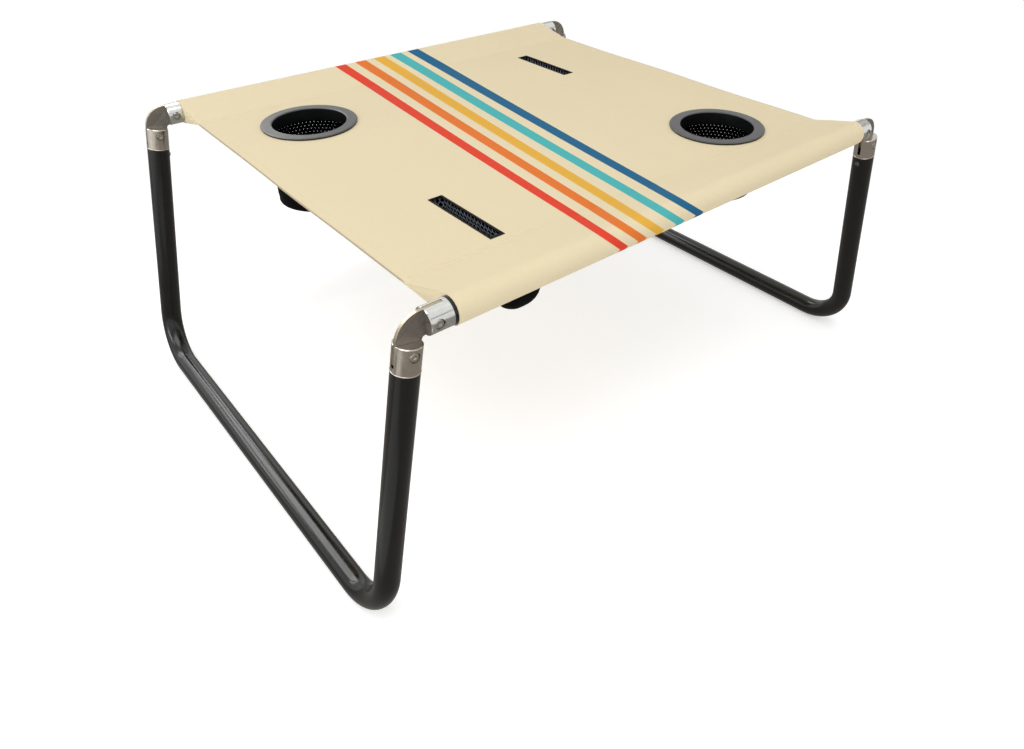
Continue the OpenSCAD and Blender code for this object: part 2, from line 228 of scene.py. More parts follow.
@dataclass(frozen=True)
class BrushedPlateSteel:
    """Stainless link plate: faces brushed across, rim painted lighter than the faces, picked by the direction
    each surface faces.

    The eye sees a dark warm face with fine straight marks, its tone partly painted shade, and a lighter rim
    that draws its outline, which is a painted highlight.
    """

    name: str = "brushed_stainless_plate_with_bright_rim"
    # The face's dark warm tone is partly painted shade, for the dark surroundings that it reflects.
    face: str = "a8a29c"
    face_dark: str = "98928c"
    # Painted highlight: this pale rim colour goes on every surface that doesn't face along Y, for the light
    # on the plate's edge.
    rim: str = "aca188"
    roughness: float = 0.3
    slant: float = 38.0  # degrees between the marks and the rails
    mark_mm: float = 0.3  # real marks are finer, and these are as fine as a close view shows
    broad_mm: float = 2.381

    def build(self) -> bpy.types.Material:
        """Builds the material.

        Returns:
            The material.
        """
        m = new_material(self.name)
        coordinates = add_node(m, "TexCoord").outputs
        normal = add_node(m, "SeparateXYZ", [coordinates["Normal"]])
        outward = add_node(m, "Math", [normal.outputs["Y"]], operation="ABSOLUTE")
        on_face = add_node(m, "MapRange", [outward, 0.55, 0.8])
        slanted = (0.0, math.radians(self.slant), 0.0)
        turned = add_node(m, "Mapping", {"Vector": coordinates["Object"], "Rotation": slanted})
        drawn = add_node(m, "Mapping", {"Vector": turned, "Scale": Grain.BRUSHED_FAR.value})
        marks = add_node(
            m, "TexNoise", {"Vector": drawn, "Scale": 1000 / self.mark_mm, "Detail": 4.0, "Roughness": 0.65}
        )
        broad = add_node(m, "TexNoise", {"Vector": drawn, "Scale": 1000 / self.broad_mm, "Detail": 2.0})
        both = add_node(m, "Math", [marks, broad], operation="MULTIPLY")
        share = add_node(m, "MapRange", [both, 0.12, 0.4])
        face = add_node(m, "Mix", [share, linear(self.face_dark), linear(self.face)], data_type="RGBA")
        rough = [share, 0.0, 1.0, self.roughness - 0.06, self.roughness + 0.08]
        steel = {
            # Painted light: the rim gets the painted highlight and the faces their partly painted shade, by
            # the surface's direction.
            "Base Color": add_node(m, "Mix", [on_face, linear(self.rim), face], data_type="RGBA"),
            "Metallic": 1.0,
            "Roughness": add_node(m, "MapRange", rough),
            "Normal": add_node(m, "Bump", {"Height": marks, "Strength": 0.2, "Distance": 0.00004}),
        }
        return close_material(m, add_node(m, "BsdfPrincipled", steel))


@dataclass(frozen=True)
class StainlessSteel:
    """Stainless steel, brushed, polished or peened.

    The eye sees bright metal whose highlight is drawn out across the marks, slightly warm in the dark.
    """

    name: str
    colour: str
    roughness: float
    grain: Grain
    axis: Point = (1.0, 0.0, 0.0)
    mark_mm: float = 0.18  # real marks are finer, and these are as fine as a close view shows
    stain_mm: float = 10.526

    def build(self) -> bpy.types.Material:
        """Builds the material.

        Returns:
            The material.
        """
        m = new_material(self.name)
        place = add_node(m, "TexCoord").outputs["Object"]
        turn = Vector(self.axis).normalized().rotation_difference(Vector((1, 0, 0))).to_euler()
        along = add_node(m, "Mapping", {"Vector": place, "Rotation": tuple(turn)})
        drawn = add_node(m, "Mapping", {"Vector": along, "Scale": self.grain.value})
        marks = add_node(
            m, "TexNoise", {"Vector": drawn, "Scale": 1000 / self.mark_mm, "Detail": 3.0, "Roughness": 0.6}
        )
        stain = add_node(
            m, "TexNoise", {"Vector": place, "Scale": 1000 / self.stain_mm, "Detail": 4.0, "Roughness": 0.6}
        )
        shade = add_node(m, "MapRange", [marks, 0.28, 0.72, 0.74, 1.08])
        tint = [1.0, linear(self.colour), shade]
        rough = [stain, 0.3, 0.72, self.roughness - 0.05, self.roughness + 0.10]
        steel = {
            "Base Color": add_node(m, "Mix", tint, data_type="RGBA", blend_type="MULTIPLY"),
            "Metallic": 1.0,
            "Roughness": add_node(m, "MapRange", rough),
            "Normal": add_node(m, "Bump", {"Height": marks, "Strength": 0.16, "Distance": 0.00003}),
        }
        return close_material(m, add_node(m, "BsdfPrincipled", steel))


@dataclass(frozen=True)
class MouldedPlastic:
    """Polypropylene with a satin mould texture, grey on top and painted near black below the flange's top as
    shade.

    The eye sees a grey face on the flange with a soft sheen and a fine grain, and painted shade below it, in
    the neck and on the flange's lower edge.
    """

    name: str = "satin_moulded_polypropylene"
    # Painted shade: near black below grey_from, for the shade in the ring's neck and under its flange's edge.
    colour: str = "101112"
    top_colour: str = "4b4c4a"
    patch_colour: str = "555654"
    grey_from: float = 294.8  # height at which the painted shade below gives way to grey, in millimetres
    grey_to: float = 295.1
    roughness: float = 0.34
    grain_mm: float = 0.5
    cloud_mm: float = 16.667

    def build(self) -> bpy.types.Material:
        """Builds the material.

        Returns:
            The material.
        """
        m = new_material(self.name)
        place = add_node(m, "TexCoord").outputs["Object"]
        grain = add_node(m, "TexNoise", {"Vector": place, "Scale": 1000 / self.grain_mm, "Detail": 2.0})
        cloud = add_node(m, "TexNoise", {"Vector": place, "Scale": 1000 / self.cloud_mm, "Detail": 3.0})
        tones = [cloud, linear(self.top_colour), linear(self.patch_colour)]
        faded = add_node(m, "Mix", tones, data_type="RGBA")
        height = add_node(m, "SeparateXYZ", [place]).outputs["Z"]
        # Painted shade: the colour goes near black below this height and grey above it.
        above_painted_shade = add_node(m, "MapRange", [height, *metres(self.grey_from, self.grey_to)])
        rough = [cloud, 0.3, 0.7, self.roughness - 0.04, self.roughness + 0.07]
        plastic = {
            "Base Color": add_node(m, "Mix", [above_painted_shade, linear(self.colour), faded], data_type="RGBA"),
            "Roughness": add_node(m, "MapRange", rough),
            "Normal": add_node(m, "Bump", {"Height": grain, "Strength": 0.12, "Distance": 0.00006}),
            "IOR": 1.49,
            "Specular IOR Level": 0.3,
        }
        return close_material(m, add_node(m, "BsdfPrincipled", plastic))


@dataclass(frozen=True)
class Stripe:
    """One plain stripe, straight but slanted, as printed on the cloth.

    Attributes:
        colour: sRGB hex colour.
        back: Place of its middle along the rails at the back seam, in millimetres.
        front: The same at the front seam.
        half_back: Half its width at the back seam.
        half_front: The same at the front seam.
    """

    colour: str
    back: float
    front: float
    half_back: float
    half_front: float


@dataclass(frozen=True)
class StripedPolyester:
    """Tan plain-weave polyester with five printed stripes.

    The eye sees a flat tan cloth, its threads only as a faint tooth, stripes with clean edges and a thin
    painted shade along its side edges.
    The pattern coordinates are the cloth's own, in metres along the rails and along its length.
    """

    name: str = "plain_woven_polyester_with_printed_stripes"
    colour: str = "e8d8b4"
    thread_mm: float = 0.9  # about twice the real thread, so that it still shows in a close view
    slub_mm: float = 6.25
    cloud_mm: float = 142.86
    seam_at: float = 206.4
    soft_edge: float = 0.2  # half the width over which a stripe's edge fades
    edge_shade_from: float = 261.0  # from here out the cloth is painted darker in a thin line along its side edges, a painted shade
    edge_shade_blend: float = 0.4
    edge_shade_fade: float = 6.0  # the painted shade fades out over this length before a seam
    edge_shade_depth: float = 0.62
    stripes: Tuple[Stripe, ...] = (
        Stripe("e24731", -55.2, -93.5, 6.9, 4.9),
        Stripe("e57a34", -27.7, -71.4, 7.3, 5.3),
        Stripe("e6b045", -1.2, -49.9, 7.6, 5.6),
        Stripe("50b4b4", 24.0, -24.5, 7.9, 5.7),
        Stripe("25658a", 50.9, 0.6, 8.0, 5.6),
    )

    def build(self) -> bpy.types.Material:
        """Builds the material.

        Returns:
            The material.
        """
        m = new_material(self.name)
        woven = add_node(m, "UVMap", uv_map="cloth")
        along, across = add_node(m, "SeparateXYZ", [woven]).outputs[:2]
        waves = []
        for direction in (along, across):
            turn = add_node(m, "Math", [direction, math.pi * 1000 / self.thread_mm], operation="MULTIPLY")
            waves.append(add_node(m, "Math", [turn], operation="SINE"))
        over = add_node(m, "Math", waves, operation="MULTIPLY")
        warp_up = add_node(m, "Math", [over, 0.0], operation="GREATER_THAN")
        thread = add_node(m, "Mix", [warp_up, *waves], data_type="FLOAT")
        tooth = add_node(m, "Math", [thread], operation="ABSOLUTE")
        slub = add_node(
            m, "TexNoise", {"Vector": woven, "Scale": 1000 / self.slub_mm, "Detail": 6.0, "Roughness": 0.7}
        )
        cloud = add_node(m, "TexNoise", {"Vector": woven, "Scale": 1000 / self.cloud_mm, "Detail": 2.0})
        shades = [
            add_node(m, "MapRange", [tooth, 0.0, 1.0, 0.955, 1.02]),
            add_node(m, "MapRange", [slub, 0.25, 0.75, 0.985, 1.015]),
            add_node(m, "MapRange", [cloud, 0.3, 0.7, 0.992, 1.008]),
            # Painted shade: a thin darker line along the side edges.
            self.side_edge_painted_shade(m, along, across),
        ]
        shade = reduce(lambda one, other: add_node(m, "Math", [one, other], operation="MULTIPLY"), shades)
        tint = [1.0, self.printed_colour(m), shade]
        cloth = {
            "Base Color": add_node(m, "Mix", tint, data_type="RGBA", blend_type="MULTIPLY"),
            "Roughness": 0.82,
            "Normal": add_node(m, "Bump", {"Height": tooth, "Strength": 0.35, "Distance": 0.00012}),
            "IOR": 1.5,
            "Specular IOR Level": 0.1,
        }
        return close_material(m, add_node(m, "BsdfPrincipled", cloth))

    def printed_colour(self, m: bpy.types.Material) -> Value:
        """Prints the stripes on the tan ground.

        Args:
            m: The cloth's material.

        Returns:
            The colour's node.
        """
        place = add_node(m, "SeparateXYZ", [add_node(m, "UVMap", uv_map="print")]).outputs

        def line(back: float, front: float) -> bpy.types.Node:
            """Returns a value that runs evenly from the front seam to the back seam, in metres."""
            slope = (back - front) / (2 * self.seam_at)
            middle = (back + front) / 2 / 1000
            return add_node(m, "Math", [place["Y"], slope, middle], operation="MULTIPLY_ADD")

        colour: Value = linear(self.colour)
        for stripe in self.stripes:
            off = add_node(m, "Math", [place["X"], line(stripe.back, stripe.front)], operation="SUBTRACT")
            far = add_node(m, "Math", [off], operation="ABSOLUTE")
            half = line(stripe.half_back, stripe.half_front)
            inside = add_node(m, "Math", [half, far], operation="SUBTRACT")
            mask = add_node(m, "MapRange", [inside, *metres(-self.soft_edge, self.soft_edge)])
            colour = add_node(m, "Mix", [mask, colour, linear(stripe.colour)], data_type="RGBA")
        return colour

    def side_edge_painted_shade(
        self, m: bpy.types.Material, along: bpy.types.NodeSocket, across: bpy.types.NodeSocket
    ) -> bpy.types.Node:
        """Paints a thin darker line of shade along the panel's two side edges.

        Args:
            m: The cloth's material.
            along: The weave's coordinate along the rails.
            across: The weave's coordinate across the table.

        Returns:
            The node of the painted shade, 1 where there is none.
        """
        out, back = (add_node(m, "Math", [way], operation="ABSOLUTE") for way in (along, across))
        at_side = add_node(m, "MapRange", [out, *metres(self.edge_shade_from, self.edge_shade_from + self.edge_shade_blend)])
        edge_shade_span = metres(self.seam_at - self.edge_shade_fade, self.seam_at)
        on_panel = add_node(m, "MapRange", [back, *edge_shade_span, 1.0, 0.0])
        in_edge_shade = add_node(m, "Math", [at_side, on_panel], operation="MULTIPLY")
        return add_node(m, "MapRange", [in_edge_shade, 0.0, 1.0, 1.0, self.edge_shade_depth])


@dataclass(frozen=True)
class SpunThread:
    """Twisted polyester yarn: sewing thread, knitted net or woven tape, by its colour and twist.

    The eye sees matt yarn with a slight sheen where it turns to the light.
    """

    name: str
    colour: str
    light_colour: str
    twist_mm: float
    roughness: float = 0.6
    specular: float = 0.1
    sheen: float = 0.0
    fuzz_mm: float = 1.111
    lay: Point = (0.6, 0.5, 0.7)  # turn of the twist, so that it follows no axis of the table

    def build(self) -> bpy.types.Material:
        """Builds the material.

        Returns:
            The material.
        """
        m = new_material(self.name)
        place = add_node(m, "TexCoord").outputs["Object"]
        turned = add_node(m, "Mapping", {"Vector": place, "Rotation": self.lay})
        scale = 1000 / self.twist_mm / math.tau
        wave = {"Vector": turned, "Scale": scale, "Distortion": 1.5, "Detail": 2.0}
        twist = add_node(m, "TexWave", wave).outputs["Fac"]
        fuzz = add_node(m, "TexNoise", {"Vector": place, "Scale": 1000 / self.fuzz_mm, "Detail": 3.0})
        both = add_node(m, "Math", [twist, fuzz], operation="MULTIPLY")
        colours = [both, linear(self.colour), linear(self.light_colour)]
        rough = [fuzz, 0.3, 0.7, self.roughness - 0.08, self.roughness + 0.1]
        yarn = {
            "Base Color": add_node(m, "Mix", colours, data_type="RGBA"),
            "Roughness": add_node(m, "MapRange", rough),
            "Normal": add_node(m, "Bump", {"Height": twist, "Strength": 0.3, "Distance": 0.00008}),
            "IOR": 1.5,
            "Specular IOR Level": self.specular,
            "Sheen Weight": self.sheen,
            "Sheen Roughness": 0.4,
        }
        return close_material(m, add_node(m, "BsdfPrincipled", yarn))


class Finishes:
    """Every material of the table, built once.

    Attributes:
        tube: Black powder coat on the tubes.
        rail_steel: Brushed stainless on the rail plugs.
        leg_steel: Brushed stainless on the leg plugs, left and right, along each one's own axis, in a darker
            and warmer colour than the rail plugs that is painted shade.
        plate: Brushed stainless on the link plates, with a painted highlight on the rim and partly painted
            shade in the faces' darker tone.
        pin: Polished stainless on pins.
        rivet: Peened stainless on rivets.
        plastic: Grey moulded plastic on the cup rings, coloured near black below the flange's top as painted
            shade.
        cloth: The striped cloth.
        net: Knitted net of the bags.
        slate: Knitted net inside the pockets, its pale slate yarn partly its own colour and partly a painted
            highlight.
        tape: Woven binding tape.
    """

    def __init__(self, lean: float) -> None:
        """Builds the materials.

        Args:
            lean: Lean of the legs from upright, in degrees.
        """
        across, down = math.sin(math.radians(lean)), -math.cos(math.radians(lean))
        self.tube = PowderCoatedSteel().build()
        self.rail_steel = StainlessSteel("brushed_stainless_rail_plug", "dfdfdb", 0.2, Grain.BRUSHED).build()
        self.leg_steel = {}
        for side in Side:
            axis = (side.value * across, 0.0, down)
            name = f"brushed_stainless_{side.label}_leg_plug"
            # Painted shade: the leg plugs' steel colour is darker and warmer than the rail plugs', for the
            # darker surroundings that they reflect.
            self.leg_steel[side] = StainlessSteel(name, "cfc6ba", 0.2, Grain.BRUSHED, axis).build()
        self.plate = BrushedPlateSteel().build()
        smooth = Grain.POLISHED
        self.pin = StainlessSteel("polished_stainless_pin", "cbc8c1", 0.15, smooth, mark_mm=0.6).build()
        self.rivet = StainlessSteel("peened_stainless_rivet", "7d7a75", 0.4, smooth, mark_mm=0.5).build()
        self.plastic = MouldedPlastic().build()
        self.cloth = StripedPolyester().build()
        self.net = SpunThread("knitted_polyester_net_black", "050506", "101113", 0.5, 0.6, 0.06).build()
        # Partly painted highlight: the pale slate yarn is partly the net's own blue-grey and partly stands
        # for the light on the pocket's far wall.
        self.slate = SpunThread("knitted_polyester_net_slate", "7b858f", "d0d8e0", 0.5, 0.5, 0.4, 0.1).build()
        self.tape = SpunThread("woven_binding_tape_black", "040405", "0a0a0c", 0.8, 0.6, 0.1).build()


# Mesh building


@dataclass
class Shape:
    """Points and faces of a mesh, with optional pattern coordinates per point.

    Attributes:
        points: One row per point.
        faces: The faces' corners as point numbers.
        cloth: The weave's coordinates, one row per point, or None.
        printed: The print's coordinates, one row per point, or None.
    """

    points: np.ndarray
    faces: List[Sequence[int]]
    cloth: Union[np.ndarray, None] = None
    printed: Union[np.ndarray, None] = None

    def joined(self, *others: "Shape") -> "Shape":
        """Joins this shape and others, and keeps the pattern coordinates that all of them have.

        Args:
            *others: The other shapes.

        Returns:
            One shape.
        """
        shapes = (self, *others)
        faces: List[Sequence[int]] = []
        start = 0
        for shape in shapes:
            faces += [tuple(i + start for i in face) for face in shape.faces]
            start += len(shape.points)
        patterns = []
        for rows in zip(*((shape.cloth, shape.printed) for shape in shapes)):
            patterns.append(None if any(row is None for row in rows) else np.concatenate(rows))
        return Shape(np.concatenate([shape.points for shape in shapes]), faces, *patterns)

    def moved(self, matrix: Matrix) -> "Shape":
        """Returns this shape after a transform."""
        m = np.array(matrix)
        return Shape(self.points @ m[:3, :3].T + m[:3, 3], self.faces, self.cloth, self.printed)

    def in_metres(self, flipped: bool = False) -> "Shape":
        """Turns this shape from millimetres to metres.

        Args:
            flipped: Whether its faces are also turned to look the other way.

        Returns:
            The shape in metres.
        """
        faces = [tuple(reversed(face)) for face in self.faces] if flipped else self.faces
        patterns = [None if rows is None else rows / 1000 for rows in (self.cloth, self.printed)]
        return Shape(self.points / 1000, faces, *patterns)


def make_piece(
    name: str,
    shape: Shape,
    material: bpy.types.Material,
    body: str,
    stands_for: Sequence[str] = (),
    sharp_degrees: float = 35.0,
) -> bpy.types.Object:
    """Makes an object of a shape and ties it to the frame.

    Args:
        name: The piece's name.
        shape: Its points and faces, in metres.
        material: Its finish.
        body: The body that it rides on.
        stands_for: CAD nodes that it replaces.
        sharp_degrees: Edges that turn more than this stay sharp.

    Returns:
        The object.
    """
    mesh = bpy.data.meshes.new(name)
    mesh.from_pydata(shape.points.tolist(), [], [tuple(face) for face in shape.faces])
    for label, rows in (("cloth", shape.cloth), ("print", shape.printed)):
        if rows is not None:
            layer = mesh.uv_layers.new(name=label)
            corner = np.empty(len(mesh.loops), np.int32)
            mesh.loops.foreach_get("vertex_index", corner)
            layer.data.foreach_set("uv", rows[corner].astype(np.float32).ravel())
    mesh.validate()
    mesh.polygons.foreach_set("use_smooth", [True] * len(mesh.polygons))
    mesh.set_sharp_from_angle(angle=math.radians(sharp_degrees))
    mesh.materials.append(material)
    piece = bpy.data.objects.new(name, mesh)
    bpy.context.scene.collection.objects.link(piece)
    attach(piece, body)
    if stands_for:
        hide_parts(*stands_for)
    LOG.info("%s: %d faces on %s", name, len(mesh.polygons), body)
    return piece


def dress(node: str, material: bpy.types.Material) -> None:
    """Puts a material on a CAD node whose shape stays.

    Args:
        node: The CAD node.
        material: Its finish.
    """
    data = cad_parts[node].data
    data.materials.clear()
    data.materials.append(material)
    LOG.info("%s keeps its shape", node)


def thickened(shape: Shape, thickness: float) -> Shape:
    """Gives an open shape a wall, half on each side of it.

    Args:
        shape: An open surface, in metres.
        thickness: The wall, in millimetres.

    Returns:
        The closed shape.
    """
    mesh = bpy.data.meshes.new("open")
    mesh.from_pydata(shape.points.tolist(), [], [tuple(face) for face in shape.faces])
    mesh.update()
    offsets = np.array([v.normal for v in mesh.vertices]) * thickness / 1000 / 2
    bpy.data.meshes.remove(mesh)
    count = len(shape.points)
    points = np.concatenate([shape.points + offsets, shape.points - offsets])
    faces: List[Sequence[int]] = [tuple(face) for face in shape.faces]
    faces += [tuple(i + count for i in reversed(face)) for face in shape.faces]
    edges = set()
    for face in shape.faces:
        edges.update(zip(face, list(face[1:]) + [face[0]]))
    faces += [(b, a, a + count, b + count) for a, b in edges if (b, a) not in edges]
    patterns = (shape.cloth, shape.printed)
    doubled = [None if rows is None else np.concatenate([rows, rows]) for rows in patterns]
    return Shape(points, faces, *doubled)


def welded(shape: Shape) -> Shape:
    """Joins points of a shape that lie in the same place.

    Args:
        shape: A shape in metres.

    Returns:
        The shape, with the first one's pattern coordinates at each joined point.
    """
    key = np.round(shape.points * 1e6).astype(np.int64)
    _, first, back = np.unique(key, axis=0, return_index=True, return_inverse=True)
    back = back.ravel()
    faces = []
    for face in shape.faces:
        new = tuple(int(back[i]) for i in face)
        if len(set(new)) == len(new):
            faces.append(new)
    kept = [None if rows is None else rows[first] for rows in (shape.cloth, shape.printed)]
    return Shape(shape.points[first], faces, *kept)


def ring_faces(count: int, start: int, other: int) -> List[Sequence[int]]:
    """Returns the faces between two closed rows of points that start at two numbers."""
    return [(start + i, start + (i + 1) % count, other + (i + 1) % count, other + i) for i in range(count)]


def grid_faces(rows: int, columns: int, flipped: bool) -> List[Sequence[int]]:
    """Lists the faces of a grid of points.

    Args:
        rows: Number of rows of points.
        columns: Number of points in a row.
        flipped: Whether the faces look the other way.

    Returns:
        The faces.
    """
    faces: List[Sequence[int]] = []
    for i in range(rows - 1):
        for a in range(i * columns, (i + 1) * columns - 1):
            b = a + columns
            faces.append((a, b, b + 1, a + 1) if flipped else (a, a + 1, b + 1, b))
    return faces


def turned(profile: Sequence[Flat], steps: int = 96) -> Shape:
    """Turns a closed profile about the Z axis.

    Args:
        profile: Radius and height of each corner, in millimetres, anticlockwise with the axis to the left.
        steps: Number of steps round.

    Returns:
        The closed shape, in metres.
    """
    points = np.array([(r * c, r * s, z) for c, s in circle(steps) for r, z in profile])
    n = len(profile)
    faces = []
    for i in range(steps):
        here, there = i * n, (i + 1) % steps * n
        faces += [(here + j, there + j, there + (j + 1) % n, here + (j + 1) % n) for j in range(n)]
    return Shape(points, faces).in_metres()


def rounded(corners: Sequence[Tuple[float, float, float]], steps: int = 5) -> List[Flat]:
    """Rounds the corners of a closed polygon.

    Args:
        corners: Two coordinates and a radius for each corner.
        steps: Steps in each rounding.

    Returns:
        The rounded outline.
    """
    outline = []
    for i, (x, y, radius) in enumerate(corners):
        here = Vector((x, y))
        before = Vector(corners[i - 1][:2]) - here
        after = Vector(corners[(i + 1) % len(corners)][:2]) - here
        if radius <= 0:
            outline.append((x, y))
            continue
        half = before.angle(after) / 2
        reach = min(radius / math.tan(half), before.length * 0.49, after.length * 0.49)
        start, end = here + before.normalized() * reach, here + after.normalized() * reach
        for k in range(steps + 1):
            t = k / steps
            outline.append(tuple(start * (1 - t) ** 2 + here * 2 * t * (1 - t) + end * t * t))
    return outline


def round_rectangle(share: float, half_w: float, half_l: float, radius: float) -> Flat:
    """Finds the point at a share of the way round a rectangle with round corners.

    Args:
        share: From 0 at the middle of the right side, anticlockwise, to 1.
        half_w: Half its width.
        half_l: Half its length.
        radius: Radius of its corners.

    Returns:
        The point's two coordinates.
    """
    bend = math.pi / 2 * radius
    w, l = half_w - radius, half_l - radius
    way = share % 1.0 * (4 * (w + l) + 4 * bend)
    if way <= l:
        return half_w, way
    way -= l
    corners = ((w, l), (-w, l), (-w, -l), (w, -l))
    headings = ((-1, 0), (0, -1), (1, 0), (0, 1))
    for k, (x, y) in enumerate(corners):
        length = (2 * w, 2 * l)[k % 2]
        if way <= bend:
            angle = k * math.pi / 2 + way / radius
            return x + radius * math.cos(angle), y + radius * math.sin(angle)
        way -= bend
        if way <= length:
            angle = k * math.pi / 2 + math.pi / 2
            on = headings[k]
            return x + radius * math.cos(angle) + on[0] * way, y + radius * math.sin(angle) + on[1] * way
        way -= length
    return half_w, 0.0


def swept(path: np.ndarray, outline: np.ndarray, frames: np.ndarray, closed: bool) -> Shape:
    """Moves an outline along a path.

    Args:
        path: Points of the path, in millimetres.
        outline: Two coordinates per corner of the outline.
        frames: Two directions per path point, for the outline's two coordinates.
        closed: Whether the path comes back to its start.

    Returns:
        The shape in metres, with flat ends where the path is open.
    """
    n, rows = len(outline), len(path)
    points = path[:, None, :] + np.einsum("nk,rkc->rnc", outline, frames)
    faces: List[Sequence[int]] = []
    for i in range(rows if closed else rows - 1):
        faces += ring_faces(n, i * n, (i + 1) % rows * n)
    if not closed:
        faces.append(tuple(reversed(range(n))))
        faces.append(tuple((rows - 1) * n + j for j in range(n)))
    return Shape(points.reshape(-1, 3), faces).in_metres(flipped=True)


# Frame tubes


@dataclass
class FoldingFrame:
    """Rails, legs and the folding corners between them.

    Attributes:
        rail_y: Distance of the rails from the middle.
        rail_z: Height of the rail axes.
        leg_x: Distance of the leg axes from the middle at rail height.
        lean: Lean of the legs from upright, in degrees.
        tube_r: Radius of the tube.
        wall: Wall of the tube.
        bend_r: Radius of the legs' bends.
        tube_start: Distance along the leg from the rail axis to the tube's end.
        edge: Rounding of the tube's end.
        bore_depth: Depth to which the tube's bore is drawn.
        second_ring: Distance from the tube's end to its second ring of points.
        bead: Radius of the rounding where a leg plug sits on its tube.
        bead_inset: Distance of that rounding's middle inside the tube's radius.
        bead_rise: Distance of it above the tube's end.
        weld: Distance within which points of a CAD mesh are one.
        flat_degrees: Faces that turn less than this against each other are one flat face.
        sharp_degrees: Edges that turn more than this are rounded over.
        sides: Steps round a tube.
    """

    rail_y: float = 255.4
    rail_z: float = 292.9
    leg_x: float = 290.0
    lean: float = 11.5
    tube_r: float = 11.1
    wall: float = 1.6
    bend_r: float = 50.0
    tube_start: float = 34.0
    edge: float = 0.35
    bore_depth: float = 14.0
    second_ring: float = 12.0
    bead: float = 0.5
    bead_inset: float = 0.25
    bead_rise: float = 0.3
    weld: float = 0.002
    flat_degrees: float = 1.5
    sharp_degrees: float = 32.0
    sides: int = 72

    @property
    def reach(self) -> float:
        """Distance along the leg from the rail axis to the axis of the run on the floor."""
        return (self.rail_z - self.tube_r) / math.cos(math.radians(self.lean))

    def leg_path(self) -> Tuple[np.ndarray, np.ndarray]:
        """Lays out the leg tube's axis in the leg's own plane, from the front end to the back end.

        Returns:
            Distances along the leg and across the table, and the axis's direction at each point.
        """
        far, inner = self.reach, self.rail_y - self.bend_r
        bend_start = far - self.bend_r
        down = [self.tube_start + self.edge, *np.linspace(self.tube_start + self.second_ring, bend_start, 9)]
        half = [(u, -self.rail_y, 1.0, 0.0) for u in down]
        for angle in np.linspace(0, math.pi / 2, 25)[1:]:
            c, s = math.cos(angle), math.sin(angle)
            half.append((bend_start + self.bend_r * s, -inner - self.bend_r * c, c, s))
        half += [(far, y, 0.0, 1.0) for y in np.linspace(-inner, 0, 8)[1:]]
        front = np.array(half)
        whole = np.concatenate([front, front[-2::-1] * np.array([1, -1, -1, 1])])
        return whole[:, :2], whole[:, 2:]

    def leg_place(self, side: Side) -> Matrix:
        """Finds the transform from a leg's own plane, with X down the leg and Y across, to its place.

        Args:
            side: The end of the table.

        Returns:
            The transform.
        """
        slope = math.radians(self.lean)
        down = Vector((side.value * math.sin(slope), 0, -math.cos(slope)))
        across = Vector((0, 1, 0))
        matrix = Matrix((down, across, down.cross(across))).transposed().to_4x4()
        matrix.translation = Vector(metres(side.value * self.leg_x, 0, self.rail_z))
        return matrix

    def build_legs(self, finishes: Finishes) -> None:
        """Builds the two leg tubes, with open ends and rounded rims, and puts them in place.

        Args:
            finishes: The materials.
        """
        places, ways = self.leg_path()
        bore, edge = self.tube_r - self.wall, self.edge
        lip = [(self.bore_depth, bore), (0.0, bore), (-edge, bore + edge), (-edge, self.tube_r - edge)]
        rows = [(places[0] + depth * ways[0], ways[0], radius) for depth, radius in lip]
        rows += [(place, way, self.tube_r) for place, way in zip(places, ways)]
        rows += [(places[-1] - depth * ways[-1], ways[-1], radius) for depth, radius in reversed(lip)]
        points = []
        for place, way, radius in rows:
            side = np.array([-way[1], way[0]])
            points += [(*(place + side * radius * c), radius * s) for c, s in circle(self.sides)]
        faces: List[Sequence[int]] = []
        for i in range(len(rows) - 1):
            faces += ring_faces(self.sides, (i + 1) * self.sides, i * self.sides)
        tube = Shape(np.array(points), faces).in_metres()
        for end in Side:
            leg = f"{end.label}_leg"
            shape = tube.moved(self.leg_place(end))
            make_piece(f"{leg}_bent_tube", shape, finishes.tube, leg, [f"{leg}_tube"])

    def leg_plug_rim(self, side: Side, end: int) -> Shape:
        """Turns the rounded rim of a leg plug, where it sits on the tube's end.

        Args:
            side: The end of the table.
            end: -1 for the front plug, 1 for the back one.

        Returns:
            The closed ring.
        """
        middle = self.tube_r - self.bead_inset
        ring = turned([(middle + self.bead * c, self.bead * s) for c, s in circle(12)])
        seat = Matrix.Translation(Vector(metres(self.tube_start - self.bead_rise, end * self.rail_y, 0)))
        return ring.moved(self.leg_place(side) @ seat @ Matrix.Rotation(math.pi / 2, 4, "Y"))

    def dress_rails(self, finishes: Finishes) -> None:
        """Gives the rails, whose shape is right, their finish."""
        for node in ("front_rail", "back_rail"):
            dress(node, finishes.tube)

    def build_corners(self, finishes: Finishes) -> None:
        """Rounds over the edges of the plugs, plates and pins, and gives each its finish.

        Args:
            finishes: The materials.
        """
        for side in Side:
            leg = f"{side.label}_leg"
            for end, word in ((-1, "front"), (1, "back")):
                corner = f"{word}_{side.label}"
                rim = [self.leg_plug_rim(side, end)]
                self.soften(f"{corner}_rail_plug", 0.4, finishes.rail_steel, "top")
                self.soften(f"{corner}_leg_plug", 0.6, finishes.leg_steel[side], leg, extras=rim)
                self.soften(f"{corner}_link", 0.3, finishes.plate, f"{side.label}_links")
            self.soften(f"{leg}_pivot_pins", 0.2, finishes.pin, leg)
            dress(f"{leg}_rivets", finishes.rivet)
        self.soften("rail_pivot_pins", 0.2, finishes.pin, "top")
        dress("rail_plug_rivets", finishes.rivet)

